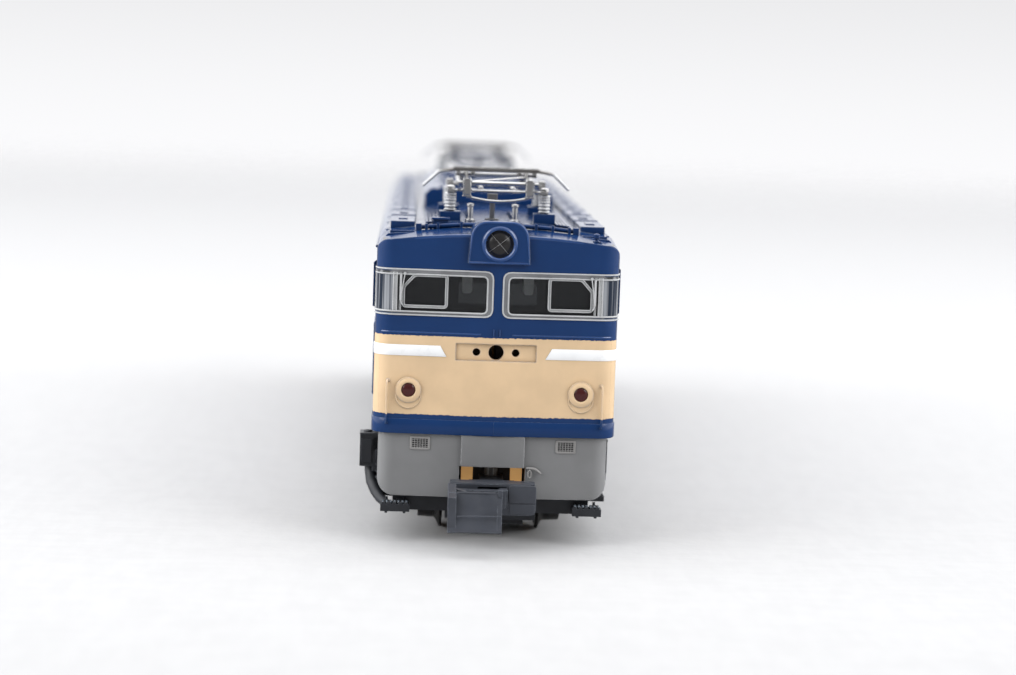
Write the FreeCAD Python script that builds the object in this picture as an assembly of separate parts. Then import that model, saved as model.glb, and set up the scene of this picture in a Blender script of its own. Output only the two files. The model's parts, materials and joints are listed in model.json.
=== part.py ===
"""N-gauge (9 mm track, 1:150) three-bogie electric locomotive, built as separate pieces.

Frame: millimetres, +Z up, front cab towards -Y, +X to the right of someone facing the front cab.
Origin: on the rail top, under the middle of the locomotive.
Outer bogies are driven by one motor through worms and spur gears; the middle bogie only carries weight.
"""

import FreeCAD
import Part
import math
import os

from FreeCAD import Vector

# ---------------------------------------------------------------- driving dimensions
BODY_LENGTH = 102.0
BODY_WIDTH = 18.66
BODY_BOTTOM = 7.7          # lower edge of the painted body shell
ROOF_CROWN = 23.7          # middle of the roof
ROOF_EDGE = 22.1           # where the body side turns into the roof
NOSE_PEAK = 0.5            # how far the middle of each cab front stands ahead of its corners
CORNER_RADIUS = 1.5        # cab corners in plan
WALL = 0.8                 # body shell thickness

BOGIE_CENTRE = 34.0        # outer bogie pivots, from the middle
WHEELBASE = 18.66
WHEEL_RADIUS = 3.73        # tread
FLANGE_RADIUS = 4.43
BACK_TO_BACK = 7.4         # 9 mm gauge wheel setting
WHEEL_WIDTH = 1.9
AXLE_RADIUS = 0.75
AXLE_END_RADIUS = 0.5

GEAR_MODULE = 0.3
TOP_TEETH = 21
SMALL_TEETH = 16           # idlers and axle gears
PRESSURE_ANGLE = math.radians(20)
TOOTH_SHARE = 0.42         # tooth thickness as a share of the pitch, the rest is gap and backlash
WORM_PITCH_RADIUS = 1.5
WORM_TOOTH_SHARE = 0.30

MOTOR_LENGTH = 15.0
MOTOR_WIDTH = 10.0
MOTOR_HEIGHT = 7.6
SHAFT_RADIUS = 0.75
FLYWHEEL_RADIUS = 3.6
CHASSIS_HALF_WIDTH = 7.9
CHASSIS_BOTTOM = 8.4
CHASSIS_TOP = 18.6

WINDOW_BOTTOM = 17.0       # cab window band
WINDOW_TOP = 20.2
WINDOW_INNER_X = 0.6       # inner edge of each cab window, from the middle
WINDOW_WRAP = 3.4          # how far back round the corners the cab windows reach
WINDOW_ROUNDING = 0.5      # inner corners of the cab windows
GLAZING_GAP = 0.03         # between each pane and the edges of its opening

PANTO_CENTRE = 36.4        # middle of each pantograph, from the middle of the locomotive
PANTO_LOWER = 6.0          # lower arm, main shaft to elbow
PANTO_SHAFT = 1.0          # main shafts, ahead of and behind the pantograph's middle
PANTO_UPPER = PANTO_LOWER + PANTO_SHAFT
PANTO_REST = math.radians(4)
PANTO_RATIO = 0.9235       # upper arm's rise per unit of the lower arm's
INSULATOR_FOOT = 24.4
INSULATOR_HEIGHT = 1.5

RUNNING_CLEARANCE = 0.05   # radial, pins and shafts in their holes

# ---------------------------------------------------------------- worked out from the above
HALF_LENGTH = BODY_LENGTH / 2
HALF_WIDTH = BODY_WIDTH / 2
GEAR_PITCH = math.pi * GEAR_MODULE
TOP_RADIUS = GEAR_MODULE * TOP_TEETH / 2
SMALL_RADIUS = GEAR_MODULE * SMALL_TEETH / 2
AXLE_Y = WHEELBASE / 2
AXLE_Z = WHEEL_RADIUS
TRAIN_LENGTH = TOP_RADIUS + 3 * SMALL_RADIUS           # top gear to axle gear, through one idler
TOP_Z = AXLE_Z + math.sqrt(TRAIN_LENGTH**2 - AXLE_Y**2)
SHAFT_Z = TOP_Z + TOP_RADIUS + WORM_PITCH_RADIUS       # motor and worm axis
TRAIN_ANGLE = math.atan2(AXLE_Z - TOP_Z, AXLE_Y)       # from the top gear down to the rear axle
PANTO_SHAFT_Z = INSULATOR_FOOT + INSULATOR_HEIGHT + 0.4

X_AXIS = Vector(1, 0, 0)
Y_AXIS = Vector(0, 1, 0)
Z_AXIS = Vector(0, 0, 1)


# ---------------------------------------------------------------- small helpers
def box(x0, x1, y0, y1, z0, z1):
    return Part.makeBox(x1 - x0, y1 - y0, z1 - z0, Vector(x0, y0, z0))


def both_sides(x0, x1, y0, y1, z0, z1):
    """The same box on the left and on the right."""
    return [box(x0, x1, y0, y1, z0, z1), box(-x1, -x0, y0, y1, z0, z1)]


def rod(start, end, radius):
    start, end = Vector(*start), Vector(*end)
    along = end - start
    return Part.makeCylinder(radius, along.Length, start, along)


def ring(start, end, outer, inner):
    return rod(start, end, outer).cut(rod(start, end, inner))


def prism(points, along):
    """A flat outline of 3-D points, pushed along a vector."""
    face = Part.Face(Part.makePolygon([Vector(*p) for p in points] + [Vector(*points[0])]))
    return face.extrude(Vector(*along))


def side_prism(points, x0, x1):
    """An outline in (y, z), from x0 to x1."""
    return prism([(x0, y, z) for y, z in points], (x1 - x0, 0, 0))


def fuse(shapes):
    result = shapes[0].multiFuse(shapes[1:]) if len(shapes) > 1 else shapes[0]
    return result.removeSplitter()


def mirrored_x(shape):
    return shape.mirror(Vector(0, 0, 0), X_AXIS)


def turned(shape, degrees=180):
    """Turned about the vertical axis through the origin."""
    copy = shape.copy()
    copy.rotate(Vector(0, 0, 0), Z_AXIS, degrees)
    return copy


def moved(shape, x=0, y=0, z=0):
    copy = shape.copy()
    copy.translate(Vector(x, y, z))
    return copy


def rounded(shape, radius, picks):
    """Fillets the edges that picks(edge) says yes to."""
    return shape.makeFillet(radius, [e for e in shape.Edges if picks(e)])


def vertical(edge):
    a, b = edge.Vertexes[0].Point, edge.Vertexes[-1].Point
    return abs(a.x - b.x) < 1e-6 and abs(a.y - b.y) < 1e-6


def save(name, *shapes):
    solids = [solid for shape in shapes for solid in shape.Solids]
    for solid in solids:
        if not solid.isValid() or solid.Volume <= 0:
            print("bad solid in", name, solid.isValid(), solid.Volume)
    whole = solids[0] if len(solids) == 1 else Part.makeCompound(solids)
    whole.exportStep(os.path.join("parts", name + ".step"))


# ---------------------------------------------------------------- body shell
def plan_prism(inset, z0, z1):
    """The body's plan outline, with its shallow pointed cab fronts, as a prism."""
    half_w, half_l = HALF_WIDTH - inset, HALF_LENGTH - inset
    shoulder = half_l - NOSE_PEAK
    points = [
        (0, -half_l), (half_w, -shoulder), (half_w, shoulder),
        (0, half_l), (-half_w, shoulder), (-half_w, -shoulder),
    ]
    solid = prism([(x, y, z0) for x, y in points], (0, 0, z1 - z0))
    corner = lambda edge: vertical(edge) and abs(edge.Vertexes[0].X) > 1
    return rounded(solid, CORNER_RADIUS - inset, corner)


SHOULDER_WIDTH = 1.1                # where the tight bend between side and roof ends, from the side
SHOULDER_RISE = 0.98                # and how far it is above the roof edge
ROOF_DROPS = [                      # the roof falls towards each cab front: place along it and drop
    (HALF_LENGTH + 0.1, 0.55), (49.0, 0.36), (46.5, 0.18), (44.0, 0.0),
]


def roof_section(y, inset, drop):
    """The body's cross-section wire at y: upright sides, tight shoulders and a shallow arched roof."""
    half_w = HALF_WIDTH - inset
    bottom = BODY_BOTTOM - 1
    edge, crown = ROOF_EDGE - inset - drop, ROOF_CROWN - inset - drop
    shoulder, top = half_w - SHOULDER_WIDTH, edge + SHOULDER_RISE
    point = lambda x, z: Vector(x, y, z)
    lines = [
        Part.LineSegment(point(half_w, bottom), point(half_w, edge)),
        Part.Arc(point(half_w, edge), point(half_w - 0.32, edge + 0.68), point(shoulder, top)),
        Part.Arc(point(shoulder, top), point(0, crown), point(-shoulder, top)),
        Part.Arc(point(-shoulder, top), point(-half_w + 0.32, edge + 0.68), point(-half_w, edge)),
        Part.LineSegment(point(-half_w, edge), point(-half_w, bottom)),
        Part.LineSegment(point(-half_w, bottom), point(half_w, bottom)),
    ]
    return Part.Wire([line.toShape() for line in lines])


def body_block(inset):
    """Roof and sides swept along the body, domed down a little at both ends, inside the plan outline."""
    level_end = ROOF_DROPS[-1][0]
    middle = Part.Face(roof_section(-level_end, inset, 0)).extrude(Vector(0, 2 * level_end, 0))
    nose = Part.makeLoft([roof_section(-y, inset, drop) for y, drop in ROOF_DROPS], True, False)
    whole = fuse([middle, nose, turned(nose)])
    return whole.common(plan_prism(inset, BODY_BOTTOM, ROOF_CROWN + 2))


DUCT_END = 45.0


def roof_ducts():
    """Long two-step covers along both edges of the roof."""
    lower = both_sides(6.3, 8.75, -DUCT_END, DUCT_END, 21.9, 23.0)
    upper = both_sides(6.5, 8.4, -DUCT_END, DUCT_END, 22.9, 23.65)
    return lower + upper


def roof_monitor():
    """The raised ventilator cover between the two pantographs, with chamfered upper edges."""
    half_w, top, chamfer = 5.7, 25.1, 0.5
    section = [
        (-half_w, 23.0), (half_w, 23.0), (half_w, top - chamfer),
        (half_w - chamfer, top), (-half_w + chamfer, top), (-half_w, top - chamfer),
    ]
    return prism([(x, -19.0, z) for x, z in section], (0, 38.0, 0))


def insulator_places():
    return [(x, y) for x in (-3.75, 3.75) for y in (-5.3, 5.3)]


def roof_pedestals():
    """Raised feet under the pantograph insulators."""
    half = 0.85
    shapes = []
    for centre in (-PANTO_CENTRE, PANTO_CENTRE):
        for x, y in insulator_places():
            y += centre
            shapes.append(box(x - half, x + half, y - half, y + half, 23.5, INSULATOR_FOOT))
    return shapes


def lamp_housing():
    """The headlight housing over the front cab, blending back into the roof."""
    foot, top = 21.0, 24.2
    outline = [(-2.35, foot), (2.35, foot), (2.15, top), (-2.15, top)]
    solid = prism([(x, -HALF_LENGTH - 0.3, z) for x, z in outline], (0, 4.6, 0))
    upper = lambda edge: abs(edge.Vertexes[0].Z - top) < 1e-6 and abs(edge.Vertexes[-1].Z - top) < 1e-6 \
        and abs(edge.Vertexes[0].Y - edge.Vertexes[-1].Y) > 1
    solid = rounded(solid, 1.2, upper)
    back = -HALF_LENGTH + 4.5
    wedge = side_prism([(-HALF_LENGTH + 1.2, top), (back, 23.3), (back, top + 1)], -4, 4)
    return solid.cut(wedge)


HEADLIGHT_Z = 22.5
TAIL_LAMP_X = 6.62
TAIL_LAMP_Z = 11.1
TAIL_PLATE_Z = 10.62                # middle of the shallow disc that carries the lamp boss lower down
TAIL_BOSS_RADIUS = 0.97
PLATE_RECESS_Z = (13.5, 14.8)
PLATE_HOLE_RADIUS = 0.58
PLATE_PIN_RADIUS = 0.29
PLATE_PIN_X = 1.5
PLATE_BOSS_BACK = -HALF_LENGTH + 1.9


def nose_plane(x):
    """y of the front cab's outer face at x."""
    return -HALF_LENGTH + NOSE_PEAK * abs(x) / HALF_WIDTH


def cab_panes(gap):
    """The two windows of the front cab as solid blocks, smaller all round by a gap."""
    inner = WINDOW_INNER_X + gap
    front, back = -HALF_LENGTH - 1, -HALF_LENGTH + WINDOW_WRAP - gap
    pane = box(inner, 12, front, back, WINDOW_BOTTOM + gap, WINDOW_TOP - gap)
    inner_corner = lambda edge: abs(edge.BoundBox.XMax - inner) < 1e-6 and edge.BoundBox.YLength > 1
    pane = rounded(pane, WINDOW_ROUNDING - gap, inner_corner)
    return [pane, mirrored_x(pane)]


def front_additions():
    """Solids added to the front cab before its holes are cut."""
    shapes = [lamp_housing()]
    for x in (-TAIL_LAMP_X, TAIL_LAMP_X):
        y = nose_plane(x)
        for proud, z in ((0.22, TAIL_LAMP_Z), (0.10, TAIL_PLATE_Z)):
            shapes.append(rod((x, y - proud, z), (x, y + 1.2, z), TAIL_BOSS_RADIUS))
    boss_front = -HALF_LENGTH + WALL - 0.1
    shapes.append(box(-2.4, 2.4, boss_front, PLATE_BOSS_BACK, 13.3, 15.0))
    return shapes


def front_openings():
    """Everything cut through or into the front cab."""
    cuts = cab_panes(0)
    front = -HALF_LENGTH - 1
    cuts.append(box(-3.08, 3.08, front, -HALF_LENGTH + 0.32, *PLATE_RECESS_Z))
    plate_z = sum(PLATE_RECESS_Z) / 2
    cuts.append(rod((0, front, plate_z), (0, PLATE_BOSS_BACK + 1, plate_z), PLATE_HOLE_RADIUS))
    for x in (-PLATE_PIN_X, PLATE_PIN_X):
        cuts.append(rod((x, front, plate_z), (x, PLATE_BOSS_BACK + 1, plate_z), PLATE_PIN_RADIUS))
    for x in (-TAIL_LAMP_X, TAIL_LAMP_X):
        cuts.append(rod((x, front, TAIL_LAMP_Z), (x, -HALF_LENGTH + 2.5, TAIL_LAMP_Z), 0.57))
    cuts.append(rod((0, front, HEADLIGHT_Z), (0, -HALF_LENGTH + 0.1, HEADLIGHT_Z), 1.30))
    cuts.append(rod((0, front, HEADLIGHT_Z), (0, -HALF_LENGTH + 3.5, HEADLIGHT_Z), 1.12))
    cuts.append(box(-0.55, 0.55, front, -HALF_LENGTH + 4.6, HEADLIGHT_Z - 0.95, HEADLIGHT_Z - 0.15))
    return cuts


CAB_WINDOW_Y = (-46.6, -43.8)       # side cab window
DOOR_Y = (-42.9, -39.3)             # crew door
UPPER_WINDOWS = [(-30.5, 4.6), (-18.3, 4.6), (-6.1, 4.6), (6.1, 4.6), (18.3, 4.6), (30.5, 4.6)]
LOUVRES = [(-30.5, 9.6), (-18.3, 9.6), (-6.1, 9.6), (6.1, 9.6), (18.3, 9.6), (30.5, 9.6)]
LOUVRE_Z = (13.0, 17.2)
UPPER_WINDOW_Z = (18.5, 20.2)
CAB_WINDOW_Z = (17.0, 20.0)
DOOR_Z = (8.6, 20.6)
DOOR_WINDOW_Z = (17.0, 19.7)
DOOR_WINDOW_MARGIN = 0.75           # door edge to its window


def side_openings():
    """Windows through the sides, and the shallow recesses of doors and louvres."""
    cuts = []
    for end in (1, -1):
        y0, y1 = sorted(end * y for y in CAB_WINDOW_Y)
        cuts += both_sides(8, 11, y0, y1, *CAB_WINDOW_Z)
        y0, y1 = sorted(end * y for y in DOOR_Y)
        cuts += both_sides(HALF_WIDTH - 0.15, 11, y0, y1, *DOOR_Z)
        cuts += both_sides(8, 11, y0 + DOOR_WINDOW_MARGIN, y1 - DOOR_WINDOW_MARGIN, *DOOR_WINDOW_Z)
    for centre, length in UPPER_WINDOWS:
        cuts += both_sides(8, 11, centre - length / 2, centre + length / 2, *UPPER_WINDOW_Z)
    for centre, length in LOUVRES:
        cuts += both_sides(HALF_WIDTH - 0.3, 11, centre - length / 2, centre + length / 2, *LOUVRE_Z)
    return cuts


def locating_ribs():
    """Ribs inside the sides that centre the shell on the chassis."""
    shapes = []
    for y in (-24.4, -12.2, 12.2, 24.4):
        shapes += both_sides(CHASSIS_HALF_WIDTH, HALF_WIDTH - WALL + 0.1, y - 0.4, y + 0.4, 8.6, 16.0)
    return shapes


def build_body_shell():
    front = front_additions()
    outer = fuse([body_block(0)] + roof_ducts() + [roof_monitor()] + roof_pedestals())
    shell = outer.cut(body_block(WALL).fuse(plan_prism(WALL, BODY_BOTTOM - 1, BODY_BOTTOM + 1)))
    shell = fuse([shell] + front + [turned(s) for s in front] + locating_ribs())
    holes = front_openings()
    shell = shell.cut(Part.makeCompound(holes + [turned(s) for s in holes] + side_openings()))
    save("body_shell", shell)


def build_cab_glazing():
    """One clear moulding per cab, wrapping both corners."""
    low, high = WINDOW_BOTTOM, WINDOW_TOP
    skin = plan_prism(0.04, low, high).cut(plan_prism(WALL - 0.05, low, high))
    panes = [skin.common(pane) for pane in cab_panes(GLAZING_GAP)]
    bridge = plan_prism(WALL, low + 0.8, high - 0.8).cut(plan_prism(WALL + 0.5, 0, 30))
    bridge = bridge.common(box(-3, 3, -HALF_LENGTH - 1, -HALF_LENGTH + 3, 0, 30))
    glazing = fuse(panes + [bridge])
    save("front_cab_glazing", glazing)
    save("rear_cab_glazing", turned(glazing))


def build_side_glazing():
    """One clear strip behind each side's windows, with raised panes that fill the openings."""
    face = HALF_WIDTH - WALL
    gap = GLAZING_GAP
    shapes = []

    def pane(outer, y0, y1, z0, z1):
        return both_sides(face, outer, y0 + gap, y1 - gap, z0 + gap, z1 - gap)

    for end in (1, -1):
        y0, y1 = sorted(end * y for y in CAB_WINDOW_Y)
        shapes += pane(HALF_WIDTH - 0.05, y0, y1, *CAB_WINDOW_Z)
        y0, y1 = sorted(end * y for y in DOOR_Y)
        shapes += pane(HALF_WIDTH - 0.25, y0 + DOOR_WINDOW_MARGIN, y1 - DOOR_WINDOW_MARGIN, *DOOR_WINDOW_Z)
    for centre, length in UPPER_WINDOWS:
        shapes += pane(HALF_WIDTH - 0.05, centre - length / 2, centre + length / 2, *UPPER_WINDOW_Z)
    shapes += both_sides(face - 0.4, face, -47.0, 47.0, 18.3, 20.3)
    for y0, y1 in ((-47.0, -39.5), (39.5, 47.0)):
        shapes += both_sides(face - 0.4, face, y0, y1, 16.7, 20.3)
    save("side_glazing", fuse(shapes))


def build_lenses():
    y = -HALF_LENGTH - 0.02
    head = rod((0, y, HEADLIGHT_Z), (0, y + 2.0, HEADLIGHT_Z), 1.10)
    guide = box(-0.5, 0.5, y + 1.5, y + 6.4, HEADLIGHT_Z - 0.9, HEADLIGHT_Z - 0.2)
    lens = fuse([head, guide])
    save("headlight_lenses", lens, turned(lens))
    tails = []
    for x in (-TAIL_LAMP_X, TAIL_LAMP_X):
        face = nose_plane(x)
        tail = rod((x, face + 0.12, TAIL_LAMP_Z), (x, face + 2.2, TAIL_LAMP_Z), 0.54)
        tails += [tail, turned(tail)]
    save("tail_lamp_lenses", *tails)


# ---------------------------------------------------------------- cab skirts and contact strips
SKIRT_HALF_WIDTH = 8.85
SKIRT_BOTTOM = 2.85
SKIRT_BACK = -47.3                  # where its side returns stop, ahead of the bogie's springs
SKIRT_OPENING = (2.54, 5.3)         # half width and top of the coupler opening
COUPLER_PIVOT_Y = -48.0


def build_skirts():
    """Grey valance under each cab, with the coupler opening, a top flange and the coupler's pivot shelf."""
    front, back = -HALF_LENGTH + 0.25, SKIRT_BACK
    half_w, shoulder = SKIRT_HALF_WIDTH, front + 0.45
    plan = [(0, front), (half_w, shoulder), (half_w, back), (-half_w, back), (-half_w, shoulder)]
    outer = prism([(x, y, SKIRT_BOTTOM) for x, y in plan], (0, 0, BODY_BOTTOM - SKIRT_BOTTOM))
    front_corner = lambda e: vertical(e) and abs(e.Vertexes[0].X) > 1 and e.Vertexes[0].Y < front + 1
    outer = rounded(outer, 1.2, front_corner)
    wall = 0.7
    inner = box(-half_w + wall, half_w - wall, shoulder + wall, back + 1, 0, 12)
    inner = rounded(inner, 0.6, lambda e: vertical(e) and e.Vertexes[0].Y < front + 2)
    skirt = outer.cut(inner)
    corner = 1.3
    for side in (1, -1):
        x, z = side * (half_w - corner), SKIRT_BOTTOM + corner
        blank = box(*sorted((x, side * half_w)), front - 1, back + 1, 0, z)
        skirt = skirt.cut(blank.cut(rod((x, front - 1, z), (x, back + 1, z), corner)))
    panel = box(-2.42, 2.42, front - 0.13, front + 0.5, SKIRT_OPENING[1], BODY_BOTTOM)
    flange = plan_prism(WALL + 0.1, BODY_BOTTOM, BODY_BOTTOM + 0.5).cut(box(-12, 12, back - 1, 60, 0, 30))
    flange = flange.cut(box(-3.0, 3.0, front + 1.2, back, 0, 30))
    shelf = box(-1.1, 1.1, front + 0.6, COUPLER_PIVOT_Y + 0.8, 5.35, 6.0)
    pin = rod((0, COUPLER_PIVOT_Y, 2.3), (0, COUPLER_PIVOT_Y, 5.5), AXLE_END_RADIUS)
    skirt = fuse([skirt, panel, flange, shelf, pin])
    opening = box(-SKIRT_OPENING[0], SKIRT_OPENING[0], front - 1, front + 1.3, 0, SKIRT_OPENING[1])
    skirt = skirt.cut(opening)
    save("front_skirt", skirt)
    save("rear_skirt", turned(skirt))


def build_contact_strips():
    """Phosphor-bronze strips: a tongue down behind the coupler opening, then back under the chassis end."""
    strips = []
    for x in (-1.9, 1.9):
        outline = [
            (-49.35, 3.9), (-49.15, 3.85), (-49.25, 7.9), (-45.2, 8.2), (-41.5, 8.2), (-41.5, 8.38),
            (-45.2, 8.38), (-49.45, 8.1),
        ]
        strips.append(side_prism(outline, x - 0.45, x + 0.45))
    save("contact_strips", *(strips + [turned(s) for s in strips]))


# ---------------------------------------------------------------- chassis, motor and drive line
FLYWHEEL_Y = (9.4, 14.6)
COUPLING_Y = (17.0, 19.6)           # where the motor shaft's tongue sits in the worm's fork
WORM_Y = 2.6                        # half length of the thread
WORM_BEARINGS = (5.2, 7.2)          # from the worm's middle
SCREW_RADIUS = 0.5
SCREW_SEAT = CHASSIS_HALF_WIDTH - 1.0
COLLAR_RADIUS = 4.85                # round collar of the gear case, which turns in the chassis
SCREW_PLACES = [(-24.0, 16.8), (24.0, 16.8), (-20.5, 9.7), (20.5, 9.7)]


def chassis_half(screw_hole, head_recess):
    """The right-hand (+X) diecast half, hollowed for motor, flywheels, worms and bogie towers."""
    x0, x1 = 0.15, CHASSIS_HALF_WIDTH
    solid = side_prism([
        (-45.0, CHASSIS_BOTTOM), (45.0, CHASSIS_BOTTOM), (45.0, 15.2), (42.5, CHASSIS_TOP),
        (-42.5, CHASSIS_TOP), (-45.0, 15.2),
    ], x0, x1)
    solid = solid.fuse(box(x0, 3.0, -4.5, 4.5, 7.2, CHASSIS_BOTTOM))
    cuts = [
        box(0, MOTOR_WIDTH / 2 + 0.1, -8.9, 8.9, SHAFT_Z - MOTOR_HEIGHT / 2 - 0.05, 30),
        box(0, 4.9, -1.6, 1.6, 7.0, 8.3),
    ]
    for end in (-1, 1):
        y0, y1 = sorted((end * 8.8, end * 16.0))
        cuts.append(box(0, FLYWHEEL_RADIUS + 0.5, y0, y1, 8.95, SHAFT_Z + FLYWHEEL_RADIUS + 0.5))
        cuts.append(rod((0, end * 15, SHAFT_Z), (0, end * 26.6, SHAFT_Z), 2.1))
        centre = end * BOGIE_CENTRE
        cuts.append(box(0, 2.6, centre - 5.2, centre + 5.2, 8, SHAFT_Z + 2.6))
        cuts.append(rod((0, centre, 8), (0, centre, 10.75), COLLAR_RADIUS + 0.1))
        cuts.append(box(0, 1.9, centre - 8.5, centre + 8.5, 8, 8.8))
        cuts.append(rod((0, centre - 7.9, SHAFT_Z), (0, centre + 7.9, SHAFT_Z), 1.55))
    for y, z in SCREW_PLACES:
        cuts.append(rod((-1, y, z), (9, y, z), screw_hole))
        if head_recess:
            cuts.append(rod((SCREW_SEAT, y, z), (9, y, z), 1.15))
    return solid.cut(Part.makeCompound(cuts))


def build_chassis():
    save("chassis_right", chassis_half(SCREW_RADIUS + 0.1, True))
    save("chassis_left", mirrored_x(chassis_half(SCREW_RADIUS, False)))
    screws, spacers = [], []
    for y, z in SCREW_PLACES:
        shank = rod((-6.5, y, z), (SCREW_SEAT, y, z), SCREW_RADIUS)
        head = rod((SCREW_SEAT, y, z), (SCREW_SEAT + 0.8, y, z), 0.95)
        head = head.cut(box(SCREW_SEAT + 0.45, 8, y - 0.12, y + 0.12, z - 1, z + 1))
        screws.append(fuse([shank, head]))
        spacers.append(ring((-0.15, y, z), (0.15, y, z), 1.2, SCREW_RADIUS + 0.02))
    save("chassis_screws", *screws)
    save("chassis_spacers", *spacers)


def build_motor():
    half_l, half_w, half_h = MOTOR_LENGTH / 2, MOTOR_WIDTH / 2, MOTOR_HEIGHT / 2
    low, high = SHAFT_Z - half_h, SHAFT_Z + half_h
    can = rounded(box(-half_w, half_w, -half_l, half_l, low, high), 1.6,
                  lambda e: abs(e.Vertexes[0].Y - e.Vertexes[-1].Y) > 1)
    hollow = rounded(box(-half_w + 0.5, half_w - 0.5, -half_l + 0.5, half_l + 1, low + 0.4, high - 0.4), 1.2,
                     lambda e: abs(e.Vertexes[0].Y - e.Vertexes[-1].Y) > 1)
    can = can.cut(hollow).cut(rod((0, -10, SHAFT_Z), (0, 0, SHAFT_Z), SHAFT_RADIUS + RUNNING_CLEARANCE))
    save("motor_can", can)

    cap = rounded(box(-half_w + 0.6, half_w - 0.6, half_l - 1.6, half_l + 1.2, low + 0.5, high - 0.5), 1.1,
                  lambda e: abs(e.Vertexes[0].Y - e.Vertexes[-1].Y) > 1)
    cap = cap.cut(rod((0, 5, SHAFT_Z), (0, 10, SHAFT_Z), SHAFT_RADIUS + RUNNING_CLEARANCE))
    cap = cap.cut(rod((0, 5, SHAFT_Z), (0, half_l + 0.4, SHAFT_Z), 2.1))
    cap = cap.cut(box(-2.85, 2.85, 6.4, 7.7, SHAFT_Z - 0.52, SHAFT_Z + 0.52))
    save("motor_end_cap", cap)

    magnets = []
    for side in (-1, 1):
        block = ring((0, -4.6, SHAFT_Z), (0, 4.6, SHAFT_Z), 4.4, 3.25)
        magnets.append(block.common(box(min(2.4 * side, 4.4 * side), max(2.4 * side, 4.4 * side), -5, 5,
                                        low + 0.9, high - 0.9)))
    save("motor_magnets", *magnets)

    brushes = []
    for side in (-1, 1):
        x0, x1 = sorted((side * 1.12, side * 2.8))
        brushes.append(box(x0, x1, 6.5, 7.6, SHAFT_Z - 0.5, SHAFT_Z + 0.5))
    save("motor_brushes", *brushes)


def build_armature():
    """Shaft with tongues at its ends, five-pole core and commutator."""
    reach = COUPLING_Y[1] - 0.6
    shaft = rod((0, -reach + 2.1, SHAFT_Z), (0, reach - 2.1, SHAFT_Z), SHAFT_RADIUS)
    shapes = [shaft]
    for end in (-1, 1):
        y0, y1 = sorted((end * (reach - 2.3), end * reach))
        shapes.append(box(-1.15, 1.15, y0, y1, SHAFT_Z - 0.3, SHAFT_Z + 0.3))
    hub = rod((0, -4.0, SHAFT_Z), (0, 4.0, SHAFT_Z), 1.4)
    shapes.append(hub)
    for pole in range(5):
        arm = box(-0.4, 0.4, -3.8, 3.8, SHAFT_Z + 1.0, SHAFT_Z + 2.6)
        shoe = ring((0, -3.8, SHAFT_Z), (0, 3.8, SHAFT_Z), 3.05, 2.5).common(
            box(-1.35, 1.35, -4, 4, SHAFT_Z + 1.5, SHAFT_Z + 4))
        pair = arm.fuse(shoe)
        pair.rotate(Vector(0, 0, SHAFT_Z), Y_AXIS, 72 * pole)
        shapes.append(pair)
    shapes.append(rod((0, 6.2, SHAFT_Z), (0, 7.75, SHAFT_Z), 1.08))
    save("motor_armature", fuse(shapes))


def build_flywheels():
    wheels = []
    for end in (-1, 1):
        y0, y1 = sorted((end * FLYWHEEL_Y[0], end * FLYWHEEL_Y[1]))
        wheel = ring((0, y0, SHAFT_Z), (0, y1, SHAFT_Z), FLYWHEEL_RADIUS, SHAFT_RADIUS)
        rims = lambda e: abs(e.BoundBox.ZLength - 2 * FLYWHEEL_RADIUS) < 1e-3 and e.BoundBox.YLength < 1e-3
        wheels.append(wheel.makeChamfer(0.3, [e for e in wheel.Edges if rims(e)]))
    save("flywheels", *wheels)


def worm_thread():
    """Right-hand single-start thread along +Y, about the origin, with a gap centred at y = 0 underneath."""
    root = WORM_PITCH_RADIUS - 1.25 * GEAR_MODULE
    tip = WORM_PITCH_RADIUS + 0.9 * GEAR_MODULE
    inner = root - 0.12
    half = GEAR_PITCH * WORM_TOOTH_SHARE / 2
    slope = math.tan(PRESSURE_ANGLE)
    foot_half = half + (WORM_PITCH_RADIUS - inner) * slope
    tip_half = half - (tip - WORM_PITCH_RADIUS) * slope
    turns = 5
    helix = Part.Wire(Part.makeHelix(GEAR_PITCH, turns * GEAR_PITCH, inner).Edges)
    corners = [(inner, -foot_half), (tip, -tip_half), (tip, tip_half), (inner, foot_half)]
    profile = Part.makePolygon([Vector(x, 0, z) for x, z in corners + corners[:1]])
    thread = helix.makePipeShell([profile], True, True)
    thread.rotate(Vector(0, 0, 0), X_AXIS, -90)
    thread.translate(Vector(0, GEAR_PITCH / 4 - 3 * GEAR_PITCH, 0))
    return thread, root


def build_worms():
    """Worm, its shaft and the fork for the motor's tongue, for the front bogie; the rear one is turned."""
    thread, root = worm_thread()
    bogie_to_fork = BOGIE_CENTRE - COUPLING_Y[1]
    core = rod((0, -WORM_Y - 0.6, 0), (0, WORM_Y + 0.6, 0), root)
    shaft = rod((0, -WORM_BEARINGS[1] - 0.3, 0), (0, bogie_to_fork - 0.2, 0), SHAFT_RADIUS)
    fork = rod((0, bogie_to_fork - 0.6, 0), (0, BOGIE_CENTRE - COUPLING_Y[0], 0), 1.6)
    fork = fork.cut(box(-2, 2, bogie_to_fork, BOGIE_CENTRE, -0.4, 0.4))
    worm = fuse([core, shaft, fork]).fuse(thread)
    worm = moved(worm, 0, -BOGIE_CENTRE, SHAFT_Z)
    save("front_worm", worm)
    save("rear_worm", turned(worm))
    bearings = []
    for centre in (-BOGIE_CENTRE, BOGIE_CENTRE):
        for end in (-1, 1):
            y0, y1 = sorted(centre + end * y for y in WORM_BEARINGS)
            bearings.append(ring((0, y0, SHAFT_Z), (0, y1, SHAFT_Z), 1.54, SHAFT_RADIUS + RUNNING_CLEARANCE))
    save("worm_bearings", *bearings)


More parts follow.
